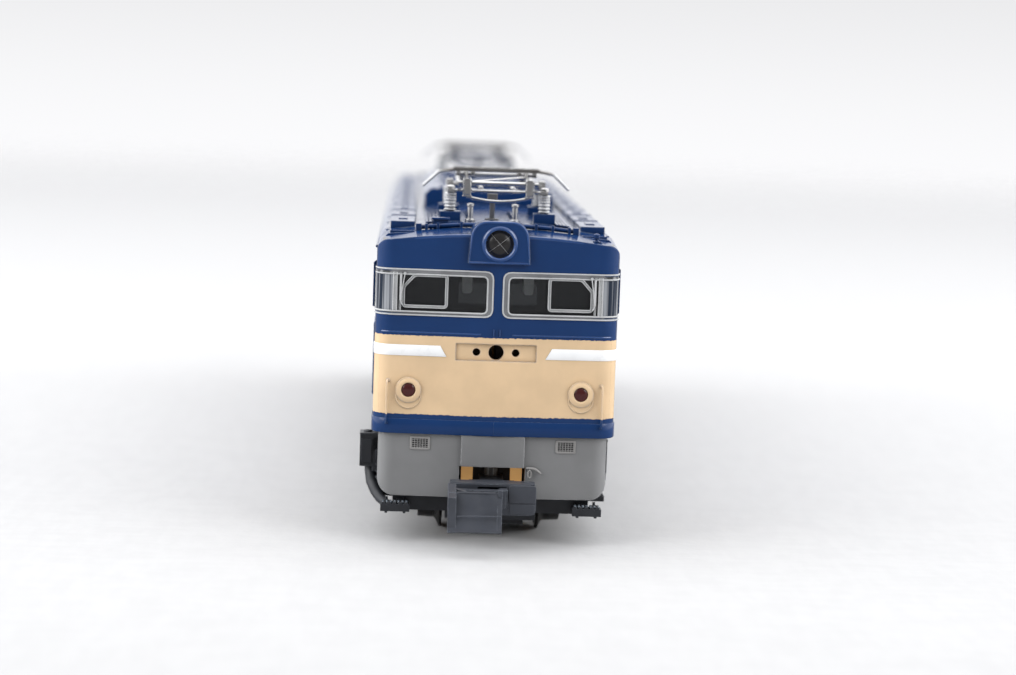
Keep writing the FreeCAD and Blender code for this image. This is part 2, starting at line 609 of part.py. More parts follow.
def build_light_boards():
    boards = []
    board = box(-3.0, 3.0, -44.0, -34.0, CHASSIS_TOP, CHASSIS_TOP + 0.6)
    lamp = box(-0.8, 0.8, -44.0, -42.8, CHASSIS_TOP + 0.6, CHASSIS_TOP + 1.6)
    one = fuse([board, lamp])
    boards += [one, turned(one)]
    save("light_boards", *boards)


# ---------------------------------------------------------------- gears
def involute(angle):
    return math.tan(angle) - angle


def gear_outline(teeth, phase, y, z):
    """Closed (y, z) outline of a spur gear with a tooth centred at angle phase."""
    pitch_r = GEAR_MODULE * teeth / 2
    base_r = pitch_r * math.cos(PRESSURE_ANGLE)
    tip_r = pitch_r + 0.9 * GEAR_MODULE
    root_r = pitch_r - 1.25 * GEAR_MODULE
    half_at_pitch = TOOTH_SHARE * math.pi / teeth
    radii = [root_r] + [base_r + (tip_r - base_r) * step / 3 for step in range(4)]

    def half_angle(radius):
        if radius <= base_r:
            return half_at_pitch + involute(PRESSURE_ANGLE)
        return half_at_pitch + involute(PRESSURE_ANGLE) - involute(math.acos(base_r / radius))

    points = []
    for tooth in range(teeth):
        middle = phase + tooth * 2 * math.pi / teeth
        rising = [(r, middle - half_angle(r)) for r in radii]
        falling = [(r, middle + half_angle(r)) for r in reversed(radii)]
        points += [(y + r * math.cos(a), z + r * math.sin(a)) for r, a in rising + falling]
    return points


def meshing_phase(phase_a, radius_a, radius_b, direction):
    """Tooth angle of gear B, so that it meshes with gear A, which lies the other way along direction."""
    offset = (phase_a - direction) * radius_a
    return direction + math.pi + (GEAR_PITCH / 2 - offset) / radius_b


def gear(teeth, phase, y, z, half_face, pin_radius=0.5, pin_reach=1.9):
    body = side_prism(gear_outline(teeth, phase, y, z), -half_face, half_face)
    return body.fuse(rod((-pin_reach, y, z), (pin_reach, y, z), pin_radius))


def train_places():
    """Centre and tooth phase of each gear of a driven bogie, in its own frame."""
    top_phase = math.pi / 2
    places = {"top": (0.0, TOP_Z, top_phase)}
    for name, sign in (("front", -1), ("rear", 1)):
        direction = TRAIN_ANGLE if sign > 0 else math.pi - TRAIN_ANGLE
        step = lambda reach: (reach * math.cos(direction), TOP_Z + reach * math.sin(direction))
        idler_phase = meshing_phase(top_phase, TOP_RADIUS, SMALL_RADIUS, direction)
        axle_phase = meshing_phase(idler_phase, SMALL_RADIUS, SMALL_RADIUS, direction)
        places["idler_" + name] = (*step(TOP_RADIUS + SMALL_RADIUS), idler_phase)
        places["axle_" + name] = (*step(TRAIN_LENGTH), axle_phase)
    return places


# ---------------------------------------------------------------- wheelsets
def wheel(side):
    """One wheel: flange inboard, tread outboard, dished on its outer face, with a raised hub."""
    inner = BACK_TO_BACK / 2
    outer = inner + WHEEL_WIDTH
    profile = [
        (inner, 0.0), (inner, FLANGE_RADIUS - 0.15), (inner + 0.2, FLANGE_RADIUS),
        (inner + 0.5, WHEEL_RADIUS + 0.12), (inner + 0.62, WHEEL_RADIUS), (outer, WHEEL_RADIUS - 0.06),
        (outer, WHEEL_RADIUS - 0.75),
        (outer - 0.55, WHEEL_RADIUS - 0.95), (outer - 0.7, 1.35), (outer - 0.1, 1.2), (outer - 0.1, 0.0),
    ]
    face = Part.Face(Part.makePolygon([Vector(x, 0, r) for x, r in profile] + [Vector(inner, 0, 0)]))
    solid = face.revolve(Vector(0, 0, 0), X_AXIS, 360)
    return solid if side > 0 else mirrored_x(solid)


def wheelset(y, gear_phase=None):
    """Wheels pressed on an axle, and the gear of a driven axle, as separate solids."""
    inner = BACK_TO_BACK / 2
    axle = fuse([
        rod((-inner - WHEEL_WIDTH + 0.1, 0, 0), (inner + WHEEL_WIDTH - 0.1, 0, 0), AXLE_RADIUS),
        rod((-6.85, 0, 0), (6.85, 0, 0), AXLE_END_RADIUS),
    ])
    wheels = [wheel(side).cut(axle) for side in (-1, 1)]
    solids = wheels + [axle]
    if gear_phase is not None:
        body = side_prism(gear_outline(SMALL_TEETH, gear_phase, 0, 0), -0.6, 0.6)
        solids.append(body.cut(axle))
    return [moved(s, 0, y, AXLE_Z) for s in solids]


# ---------------------------------------------------------------- bogies
SLIDER_PIN_RADIUS = 1.2
CASE_HALF_WIDTH = 2.2
CASE_BOTTOM = 1.0
CASE_TOP = 10.3
CASE_END = 12.5


def gear_case():
    """Gear tower in two halves, with a round collar that turns in the chassis."""
    outline = [
        (-CASE_END, CASE_BOTTOM), (CASE_END, CASE_BOTTOM), (CASE_END, 5.6), (10.6, 7.3), (4.2, 8.1),
        (4.0, CASE_TOP), (-4.0, CASE_TOP), (-4.2, 8.1), (-10.6, 7.3), (-CASE_END, 5.6),
    ]
    solid = side_prism(outline, -CASE_HALF_WIDTH, CASE_HALF_WIDTH)
    solid = solid.fuse(rod((0, 0, 9.2), (0, 0, CASE_TOP), COLLAR_RADIUS))
    cuts = []
    gap = 0.25
    for name, (y, z, _) in train_places().items():
        tip = (TOP_RADIUS if name == "top" else SMALL_RADIUS) + GEAR_MODULE
        cuts.append(rod((-0.75, y, z), (0.75, y, z), tip + gap))
        hole = AXLE_RADIUS if name.startswith("axle") else 0.5
        cuts.append(rod((-5, y, z), (5, y, z), hole + RUNNING_CLEARANCE))
    solid = solid.cut(Part.makeCompound(cuts))
    return [solid.common(box(0, 9, -20, 20, 0, 20)), solid.common(box(-9, 0, -20, 20, 0, 20))]


def pickups():
    """Bronze strips on both flanks of the gear case, bent out to wipe the backs of the wheels."""
    low, high = 5.4, 6.6
    face, wiping = CASE_HALF_WIDTH, BACK_TO_BACK / 2 - 0.08
    right = [box(face, face + 0.2, -3.0, 3.0, low, high + 1.0), box(face, face + 0.2, -8.4, 8.4, low, high)]
    for end in (-1, 1):
        bend, tip = end * 8.4, end * 10.8
        tongue = [(face, bend, low), (face + 0.2, bend, low), (wiping, tip, low), (wiping - 0.2, tip, low)]
        right.append(prism(tongue, (0, 0, high - low)))
    strip = fuse(right)
    return [strip, mirrored_x(strip)]


def coil(x, y, z0, z1, radius):
    """A stubby coil spring as a moulded stack of rings."""
    shapes = [rod((x, y, z0), (x, y, z1), radius * 0.8)]
    turns = 4
    for turn in range(turns):
        z = z0 + (z1 - z0) * (turn + 0.2) / turns
        shapes.append(rod((x, y, z), (x, y, z + (z1 - z0) * 0.6 / turns), radius))
    return shapes


FRAME_INNER, FRAME_OUTER = 6.6, 7.7     # side plates of the bogie frames
FRAME_END = 13.3
BEAM_Y = (14.1, 15.0)
BEAM_Z = (1.5, 2.6)                     # end beams, either side of their lower middle part
BEAM_DIP = 3.5                          # half width of that middle part, which passes under the coupler
BEAM_DIP_Z = (0.9, 1.8)
KEEPER_Z = (0.45, 0.95)
STEP_X = (6.27, 8.5)
STEP_Y = (-17.0, -15.9)
STEP_Z = (1.68, 2.25)
SANDBOX_Z = (4.3, 5.5, 6.8)             # foot, shoulder and top
SANDBOX_REACH = 9.2                     # outer face of a sandbox
WIDE_SANDBOX_REACH = 10.3               # of the one at the outer end on the left


def spring_group(side, y):
    """A coil spring between its upper and lower seats."""
    half = 0.7
    x0, x1 = sorted((side * (FRAME_OUTER - 0.1), side * 9.05))
    seats = [box(x0, x1, y - half, y + half, 5.0, 5.7), box(x0, x1, y - half, y + half, 2.1, 2.5)]
    return seats + coil(side * 8.35, y, 2.4, 5.1, 0.62)


def side_frame(side, sandboxes):
    """Outer frame of one side: plate, axle boxes, springs, brake hangers, bolster springs and sandboxes."""
    across = lambda a, b: sorted((side * a, side * b))
    plate = side_prism([
        (-FRAME_END, 5.6), (-12.9, 2.8), (-10.9, 2.2), (-7.8, 2.2), (-6.8, 3.2), (-3.6, 2.1),
        (3.6, 2.1), (6.8, 3.2), (7.8, 2.2), (10.9, 2.2), (12.9, 2.8), (FRAME_END, 5.6),
        (12.4, 6.9), (5.4, 6.9), (4.2, 6.1), (-4.2, 6.1), (-5.4, 6.9), (-12.4, 6.9),
    ], *across(FRAME_INNER, FRAME_OUTER))
    shapes = [plate]
    outboard = FRAME_OUTER - 0.1
    for end in (-1, 1):
        y = end * AXLE_Y
        shapes.append(box(*across(outboard, 8.7), y - 1.5, y + 1.5, 2.3, 5.5))
        shapes.append(rod((side * 8.6, y, AXLE_Z), (side * 9.1, y, AXLE_Z), 1.05))
        for offset in (-2.45, 2.45):
            shapes += spring_group(side, y + offset)
        shapes.append(box(*across(outboard, 8.4), end * 5.0 - 0.5, end * 5.0 + 0.5, 1.3, 6.0))
        y0, y1 = sorted((end * 12.6, end * BEAM_Y[1]))
        shapes.append(box(*across(FRAME_INNER, 7.6), y0, y1, *BEAM_Z))
    shapes.append(box(*across(outboard, 9.1), -2.6, 2.6, 4.6, 6.0))
    for offset in (-1.6, 0, 1.6):
        shapes += coil(side * 8.4, offset, 2.6, 4.7, 0.6)
    shapes.append(box(*across(outboard, 9.1), -2.6, 2.6, 2.2, 2.7))
    shapes.append(rod((side * outboard, -3.7, 5.1), (side * 9.0, -3.7, 5.1), 0.75))
    foot, shoulder, top = SANDBOX_Z
    for end in sandboxes:
        y0, y1 = sorted((end * 10.3, end * 11.9))
        reach = WIDE_SANDBOX_REACH if side < 0 and end < 0 else SANDBOX_REACH
        shapes.append(box(*across(outboard, reach), y0, y1, shoulder, top))
        shapes.append(box(*across(reach - 1.05, reach), y0, y1, foot, shoulder + 0.2))
    return shapes


def foot_step(side):
    """Treaded foot step ahead of the outer beam, on its bracket."""
    x0, x1 = sorted((side * STEP_X[0], side * STEP_X[1]))
    y0, y1 = STEP_Y
    shapes = [box(x0, x1, y0, y1, *STEP_Z)]
    ribs = 5
    spacing = (STEP_X[1] - STEP_X[0] - 0.1) / ribs
    for rib in range(ribs):
        start = x0 + 0.1 + rib * spacing
        shapes.append(box(start, start + 0.26, y0, y1, STEP_Z[1] - 0.05, STEP_Z[1] + 0.15))
    x2, x3 = sorted((side * 6.7, side * 7.3))
    shapes.append(side_prism([(-14.6, 1.6), (-16.2, 1.75), (-16.2, 2.2), (-14.6, 2.4)], x2, x3))
    return shapes


def bogie_frame(driven):
    """Side frames, end beams and keeper plate under the axles, in one moulding. The outer end is at -Y."""
    shapes = []
    sandboxes = (-1, 1) if driven else ()
    for side in (-1, 1):
        shapes += side_frame(side, sandboxes)
        if driven:
            shapes += foot_step(side)
    for end in (-1, 1):
        y0, y1 = sorted((end * BEAM_Y[0], end * BEAM_Y[1]))
        shapes += both_sides(BEAM_DIP - 0.4, 7.6, y0, y1, *BEAM_Z)
        shapes.append(box(-BEAM_DIP, BEAM_DIP, y0, y1, *BEAM_DIP_Z))
    shapes.append(box(-2.6, 2.6, -BEAM_Y[0] - 0.1, BEAM_Y[0] + 0.1, *KEEPER_Z))
    shapes += both_sides(2.5, 6.7, -2.0, 2.0, KEEPER_Z[0], 1.2)
    shapes += both_sides(FRAME_INNER, FRAME_OUTER, -2.0, 2.0, KEEPER_Z[0], 2.4)
    if not driven:
        shapes.append(box(-6.7, 6.7, -3.6, 3.6, 4.6, 5.4))
        shapes.append(rod((0, 0, 4.4), (0, 0, 6.3), 2.2))
    frame = fuse(shapes)
    bore, reach = AXLE_END_RADIUS + RUNNING_CLEARANCE, 6.95
    cuts = [rod((-reach, y, AXLE_Z), (reach, y, AXLE_Z), bore) for y in (-AXLE_Y, AXLE_Y)]
    if not driven:
        cuts.append(rod((0, 0, 3), (0, 0, 8), SLIDER_PIN_RADIUS + RUNNING_CLEARANCE))
    return frame.cut(Part.makeCompound(cuts))


def build_driven_bogies():
    places = train_places()
    for name, centre in (("front", -BOGIE_CENTRE), ("rear", BOGIE_CENTRE)):
        put = lambda shape: moved(shape, 0, centre, 0)
        frame = bogie_frame(True)
        save(name + "_bogie_frame", put(frame if name == "front" else turned(frame)))
        save(name + "_gear_case", *[put(half) for half in gear_case()])
        save(name + "_pickups", *[put(strip) for strip in pickups()])
        y, z, phase = places["top"]
        save(name + "_top_gear", put(gear(TOP_TEETH, phase, y, z, 0.45)))
        for end in ("front", "rear"):
            y, z, phase = places["idler_" + end]
            save(f"{name}_bogie_{end}_idler", put(gear(SMALL_TEETH, phase, y, z, 0.6)))
            y, z, phase = places["axle_" + end]
            save(f"{name}_bogie_{end}_wheelset", *[put(s) for s in wheelset(y, phase)])


def build_middle_bogie():
    save("middle_bogie_frame", bogie_frame(False))
    for end, y in (("front", -AXLE_Y), ("rear", AXLE_Y)):
        save(f"middle_bogie_{end}_wheelset", *wheelset(y))
    slider = fuse([
        box(-2.9, 2.9, -2.9, 2.9, 6.45, 7.1),
        box(-2.6, 2.6, -1.5, 1.5, 7.0, 8.2),
        rod((0, 0, 4.2), (0, 0, 6.5), SLIDER_PIN_RADIUS),
    ])
    save("middle_bogie_slider", slider)


# ---------------------------------------------------------------- couplers
POCKET_Z = (2.0, 4.35)
POCKET_FRONT, POCKET_BACK = -53.1, -51.4
LIFT_PIVOT = (-52.1, 3.3)           # y and z of the pin the coupler head lifts about


def coupler_pocket():
    """Swinging carrier: pivot boss behind the skirt, neck through the opening, wide head in front of it."""
    head = box(-3.35, 3.35, POCKET_FRONT, POCKET_BACK, *POCKET_Z)
    head = rounded(head, 0.5, lambda e: abs(e.Vertexes[0].Y - e.Vertexes[-1].Y) > 1)
    low, high = POCKET_Z[0] + 0.1, POCKET_Z[1] - 0.1
    neck = box(-1.75, 1.75, POCKET_BACK - 0.1, -50.4, low, high)
    tail = box(-0.9, 0.9, -50.5, COUPLER_PIVOT_Y, low, high)
    boss = rod((0, COUPLER_PIVOT_Y, low), (0, COUPLER_PIVOT_Y, high), 0.95)
    pocket = fuse([head, neck, tail, boss])
    bore = rod((0, COUPLER_PIVOT_Y, 1), (0, COUPLER_PIVOT_Y, 6), AXLE_END_RADIUS + RUNNING_CLEARANCE)
    pocket = pocket.cut(bore)
    y, z = LIFT_PIVOT
    slot = box(-1.15, 1.15, POCKET_FRONT - 1, y + 0.85, z - 0.75, z + 0.85)
    pocket = pocket.cut(slot)
    return fuse([pocket, rod((-1.3, y, z), (1.3, y, z), 0.3)])


def coupler_head():
    """Loop-and-hook coupler: shank with an eye, cross bar, side blade and sloped hook plate."""
    y, z = LIFT_PIVOT
    left, right = -3.4, 0.65
    eye = rod((-1.0, y, z), (1.0, y, z), 0.6)
    shank = box(-1.0, 1.0, -53.8, y, z - 0.4, z + 0.4)
    bar = box(left, 1.0, -54.3, -53.5, z - 0.55, z + 0.75)
    blade = side_prism([
        (-54.3, 2.6), (-53.5, 2.6), (-53.5, 4.0), (-54.6, 4.6), (-56.9, 3.9), (-56.9, 1.25), (-56.3, 1.2),
        (-55.6, 2.3),
    ], left, left + 0.6)
    plate = side_prism([
        (-57.0, 1.35), (-56.6, 1.2), (-56.0, 2.6), (-55.7, 4.1), (-56.1, 4.2), (-56.55, 2.7),
    ], left, right)
    lip = side_prism([
        (-57.0, 1.35), (-56.4, 1.3), (-55.5, 2.9), (-55.3, 4.0), (-56.0, 4.3), (-56.6, 2.7),
    ], right - 0.35, right)
    head = fuse([eye, shank, bar, blade, plate, lip])
    return head.cut(rod((-4, y, z), (4, y, z), 0.3 + RUNNING_CLEARANCE))


def build_couplers():
    for name, place in (("front", lambda s: s), ("rear", turned)):
        save(name + "_coupler_pocket", place(coupler_pocket()))
        save(name + "_coupler", place(coupler_head()))


# ---------------------------------------------------------------- pantographs
ELBOW = (
    PANTO_SHAFT + PANTO_LOWER * math.cos(PANTO_REST),
    PANTO_SHAFT_Z + PANTO_LOWER * math.sin(PANTO_REST),
)
APEX_Z = ELBOW[1] + PANTO_UPPER * math.sin(PANTO_REST * PANTO_RATIO)
TUBE = 0.17
LOWER_X, UPPER_X, UPPER_REAR_APEX_X = 3.05, 2.45, 1.9


def insulators():
    shapes = []
    for centre in (-PANTO_CENTRE, PANTO_CENTRE):
        for x, y in insulator_places():
            foot = (x, centre + y, INSULATOR_FOOT)
            stack = [rod(foot, (x, centre + y, INSULATOR_FOOT + INSULATOR_HEIGHT), 0.28)]
            for shed in range(5):
                z = INSULATOR_FOOT + 0.12 + shed * 0.28
                stack.append(Part.makeCone(0.48, 0.32, 0.22, Vector(x, centre + y, z), Z_AXIS))
            shapes.append(fuse(stack))
    return shapes


def pantograph_base():
    """Side rails on the insulators, cross tubes, and bearing brackets for the two main shafts."""
    z0 = INSULATOR_FOOT + INSULATOR_HEIGHT
    shapes = both_sides(3.5, 4.0, -5.8, 5.8, z0, z0 + 0.25)
    for y in (-5.3, 5.3):
        shapes.append(rod((-3.7, y, z0 + 0.13), (3.7, y, z0 + 0.13), 0.13))
    brackets = []
    for y in (-PANTO_SHAFT, PANTO_SHAFT):
        brackets += both_sides(3.5, 4.0, y - 0.45, y + 0.45, z0 + 0.2, PANTO_SHAFT_Z + 0.42)
    frame = fuse(shapes + brackets)
    for y in (-PANTO_SHAFT, PANTO_SHAFT):
        frame = frame.cut(rod((-5, y, PANTO_SHAFT_Z), (5, y, PANTO_SHAFT_Z), 0.2 + RUNNING_CLEARANCE))
    return frame


def lower_arm():
    """Front lower frame: main shaft, two tubes outwards and the elbow shaft."""
    y, z = -ELBOW[0], ELBOW[1]
    shapes = [rod((-3.95, -PANTO_SHAFT, PANTO_SHAFT_Z), (3.95, -PANTO_SHAFT, PANTO_SHAFT_Z), 0.2)]
    shapes.append(rod((-LOWER_X - 0.1, y, z), (LOWER_X + 0.1, y, z), 0.16))
    for side in (-1, 1):
        x = side * LOWER_X
        shapes.append(rod((x, -PANTO_SHAFT, PANTO_SHAFT_Z), (x, y, z), TUBE))
    return fuse(shapes)


def upper_arm(apex_x, bore):
    """Front upper frame: hubs on the elbow shaft, tapering tubes, a diagonal brace and hubs at the apex."""
    y, z = -ELBOW[0], ELBOW[1]
    shapes = []
    for side in (-1, 1):
        elbow_x, top_x = side * UPPER_X, side * apex_x
        shapes.append(rod((elbow_x - 0.18, y, z), (elbow_x + 0.18, y, z), 0.34))
        shapes.append(rod((top_x - 0.16, 0, APEX_Z), (top_x + 0.16, 0, APEX_Z), bore + 0.14))
        shapes.append(rod((elbow_x, y, z), (top_x, 0, APEX_Z), 0.13))
    point = lambda share, x: (x, y * (1 - share), z + (APEX_Z - z) * share)
    shapes.append(rod(point(0.12, -UPPER_X + 0.02), point(0.12, UPPER_X - 0.02), 0.1))
    shapes.append(rod(point(0.12, -UPPER_X + 0.05), point(0.80, apex_x), 0.09))
    arm = fuse(shapes)
    arm = arm.cut(rod((-5, y, z), (5, y, z), 0.16 + RUNNING_CLEARANCE))
    return arm.cut(rod((-5, 0, APEX_Z), (5, 0, APEX_Z), bore))


def collector_head():
    """Pan head: cross shaft at the apex, end plates, two wearing strips and down-bent horns."""
    strip_z = APEX_Z + 0.25
    shapes = [rod((-3.3, 0, APEX_Z), (3.3, 0, APEX_Z), 0.15)]
    for side in (-1, 1):
        x0, x1 = sorted((side * 2.95, side * 3.25))
        shapes.append(box(x0, x1, -1.15, 1.15, strip_z - 0.18, strip_z + 0.05))
        shapes.append(box(x0, x1, -0.2, 0.2, APEX_Z - 0.16, strip_z))
    for y in (-0.95, 0.95):
        shapes.append(box(-3.5, 3.5, y - 0.28, y + 0.28, strip_z, strip_z + 0.28))
        for side in (-1, 1):
            start = (side * 3.4, strip_z + 0.11)
            bend = (side * 4.7, strip_z - 0.12)
            tip = (side * 5.9, strip_z - 1.25)
            for a, b in ((start, bend), (bend, tip)):
                shapes.append(rod((a[0], y, a[1]), (b[0], y, b[1]), 0.11))
            shapes.append(Part.makeSphere(0.11, Vector(bend[0], y, bend[1])))
            shapes.append(Part.makeSphere(0.11, Vector(tip[0], y, tip[1])))
    for side in (-1, 1):
        shapes.append(rod((side * 4.7, -0.95, strip_z - 0.12), (side * 4.7, 0.95, strip_z - 0.12), 0.09))
    return fuse(shapes)


def build_pantographs():
    save("pantograph_insulators", *insulators())
    pieces = {
        "base": pantograph_base(),
        "front_lower_arm": lower_arm(),
        "rear_lower_arm": turned(lower_arm()),
        "front_upper_arm": upper_arm(UPPER_X, 0.15 + RUNNING_CLEARANCE),
        "rear_upper_arm": turned(upper_arm(UPPER_REAR_APEX_X, 0.27)),
        "head": collector_head(),
    }
    for name, centre in (("front", -PANTO_CENTRE), ("rear", PANTO_CENTRE)):
        for piece, shape in pieces.items():
            save(f"{name}_pantograph_{piece}", moved(shape, 0, centre, 0))


# ---------------------------------------------------------------- build everything
os.makedirs("parts", exist_ok=True)
build_body_shell()
build_cab_glazing()
build_side_glazing()
build_lenses()
build_skirts()
build_contact_strips()
build_chassis()
build_motor()
build_armature()
build_flywheels()
build_worms()
build_light_boards()
build_driven_bogies()
build_middle_bogie()
build_couplers()
build_pantographs()
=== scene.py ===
"""Looks of a model electric locomotive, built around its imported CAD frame.

The frame's axes are kept: +Z up, the front cab towards -Y, +X to the right of someone facing it.
Sizes are written in millimetres, and become metres when a piece's mesh is made. Pieces that are
the same at both ends are made for the front one, and turned round for the rear.
"""
import json
import math

import bmesh
import bpy
from mathutils import Matrix, Vector


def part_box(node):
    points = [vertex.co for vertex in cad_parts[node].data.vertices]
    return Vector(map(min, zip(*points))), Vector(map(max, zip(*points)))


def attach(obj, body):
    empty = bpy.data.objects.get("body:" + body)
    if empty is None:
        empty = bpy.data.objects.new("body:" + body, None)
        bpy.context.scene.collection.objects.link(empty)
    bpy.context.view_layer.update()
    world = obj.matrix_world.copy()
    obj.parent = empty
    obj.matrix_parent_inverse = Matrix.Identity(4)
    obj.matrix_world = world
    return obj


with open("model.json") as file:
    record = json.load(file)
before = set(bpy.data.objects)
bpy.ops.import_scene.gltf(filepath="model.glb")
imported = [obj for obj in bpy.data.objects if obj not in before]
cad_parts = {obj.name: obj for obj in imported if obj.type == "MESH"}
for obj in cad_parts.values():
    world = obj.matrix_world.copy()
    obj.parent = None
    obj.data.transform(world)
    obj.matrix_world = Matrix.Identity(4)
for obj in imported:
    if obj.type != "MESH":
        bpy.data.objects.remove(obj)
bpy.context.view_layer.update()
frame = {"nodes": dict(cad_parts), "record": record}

MM = 0.001


# ---------------------------------------------------------------- sizes, from the frame where it has them
def box_mm(node):
    low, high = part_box(node)
    return Vector(low) / MM, Vector(high) / MM


SHELL_LOW, SHELL_HIGH = box_mm("body_shell")
GLASS_LOW, GLASS_HIGH = box_mm("front_cab_glazing")
SKIRT_LOW, SKIRT_HIGH = box_mm("front_skirt")
HEADLIGHT_LOW, HEADLIGHT_HIGH = box_mm("headlight_lenses")
TAIL_LOW, TAIL_HIGH = box_mm("tail_lamp_lenses")
POCKET_LOW, POCKET_HIGH = box_mm("front_coupler_pocket")
HOOK_LOW, _ = box_mm("front_coupler")
PANTO_LOW, PANTO_HIGH = box_mm("front_pantograph_base")
FRONT_FRAME_LOW, _ = box_mm("front_bogie_frame")

GLAZING_GAP = 0.03
HOUSING_PROUD = 0.3                # headlight housing, ahead of the middle of the cab front
NOSE_PEAK = 0.5                    # the middle of the cab front, ahead of its corners
CORNER = 1.5                       # cab corner radius in plan
HALF_WIDTH = SHELL_HIGH.x
HALF_LENGTH = SHELL_HIGH.y - HOUSING_PROUD
BODY_BOTTOM = SHELL_LOW.z
ROOF_EDGE = 22.1
ROOF_CROWN = 23.7
SHOULDER_WIDTH = 1.1               # the tight bend between side and roof
SHOULDER_RISE = 0.98
ROOF_FALL = ((44.0, 0.0), (46.5, 0.18), (49.0, 0.36), (51.1, 0.55))   # distance along, and drop there
DUCT_TOP = 23.65                   # ducts along both edges of the roof
DUCT_END = 45.0
MONITOR_TOP = SHELL_HIGH.z         # raised ventilator cover in the middle of the roof
MONITOR_END = 19.0
MONITOR_HALF_WIDTH = 5.7

WINDOW_BOTTOM = GLASS_LOW.z - GLAZING_GAP
WINDOW_TOP = GLASS_HIGH.z + GLAZING_GAP
WINDOW_BACK = -GLASS_HIGH.y - GLAZING_GAP
WINDOW_INNER = 0.6
HEADLIGHT_Z = (HEADLIGHT_LOW.z + HEADLIGHT_HIGH.z) / 2
TAIL_Z = (TAIL_LOW.z + TAIL_HIGH.z) / 2
TAIL_RADIUS = (TAIL_HIGH.z - TAIL_LOW.z) / 2
TAIL_X = TAIL_HIGH.x - TAIL_RADIUS
TAIL_FACE = -HALF_LENGTH + NOSE_PEAK * TAIL_X / HALF_WIDTH     # the cab front beside a tail lamp
BOGIE_CENTRE = 34.0
AXLE_Y = 9.33                      # axle, from its bogie's middle
AXLE_Z = 3.73
BOGIE_SIDE = 9.1                   # outer face of the axle boxes
PANTO_CENTRE = (PANTO_LOW.y + PANTO_HIGH.y) / -2
PANTO_RAIL_TOP = 26.15

BAND_TOP = 9.22                    # livery: blue sill band, cream above it, blue above CREAM_TOP
CREAM_TOP = 15.28
SIDE_CREAM_TOP = 10.7              # along the sides the cream is a narrow band
CREAM_SLANT = (41.5, 44.0)         # where that band widens towards the cab
STRIPE_Z = (13.72, 14.56)
STRIPE_STARTS = (3.80, 4.27)       # where the white stripe's lower and upper edges start

CAB_WINDOW_Y = (-46.6, -43.8)      # side openings of the front cab; the rear cab's are turned round
CAB_WINDOW_Z = (17.0, 20.0)
DOOR_Y = (-42.9, -39.3)
DOOR_Z = (8.6, 20.6)
DOOR_WINDOW_Z = (17.0, 19.7)
DOOR_WINDOW_MARGIN = 0.75
BAY_CENTRES = (-30.5, -18.3, -6.1, 6.1, 18.3, 30.5)
UPPER_WINDOW_HALF = 2.3
UPPER_WINDOW_Z = (18.5, 20.2)
LOUVRE_HALF = 4.8
LOUVRE_Z = (13.0, 17.2)
LOUVRE_DEPTH = 0.3

ENDS = ("front", "rear")
CORNERS = [(side, end) for side in (-1, 1) for end in (-1, 1)]
FORWARD, OUTWARD, UP = (0, -1, 0), (1, 0, 0), (0, 0, 1)
TIP = 1e-4                         # a turned outline stops this short of its axis


# ---------------------------------------------------------------- evenly spread numbers
def evenly(low, high, parts):
    """The ends of a range, and the numbers between them that cut it into equal parts."""
    return [low + (high - low) * i / parts for i in range(parts + 1)]


def arc(turn, steps):
    """(cosine, sine) of the angles from 0 to turn."""
    return [(math.cos(angle), math.sin(angle)) for angle in evenly(0.0, turn, steps)]


def circle(steps):
    """(cosine, sine) of the angles round a full turn."""
    return arc(2 * math.pi, steps)[:-1]


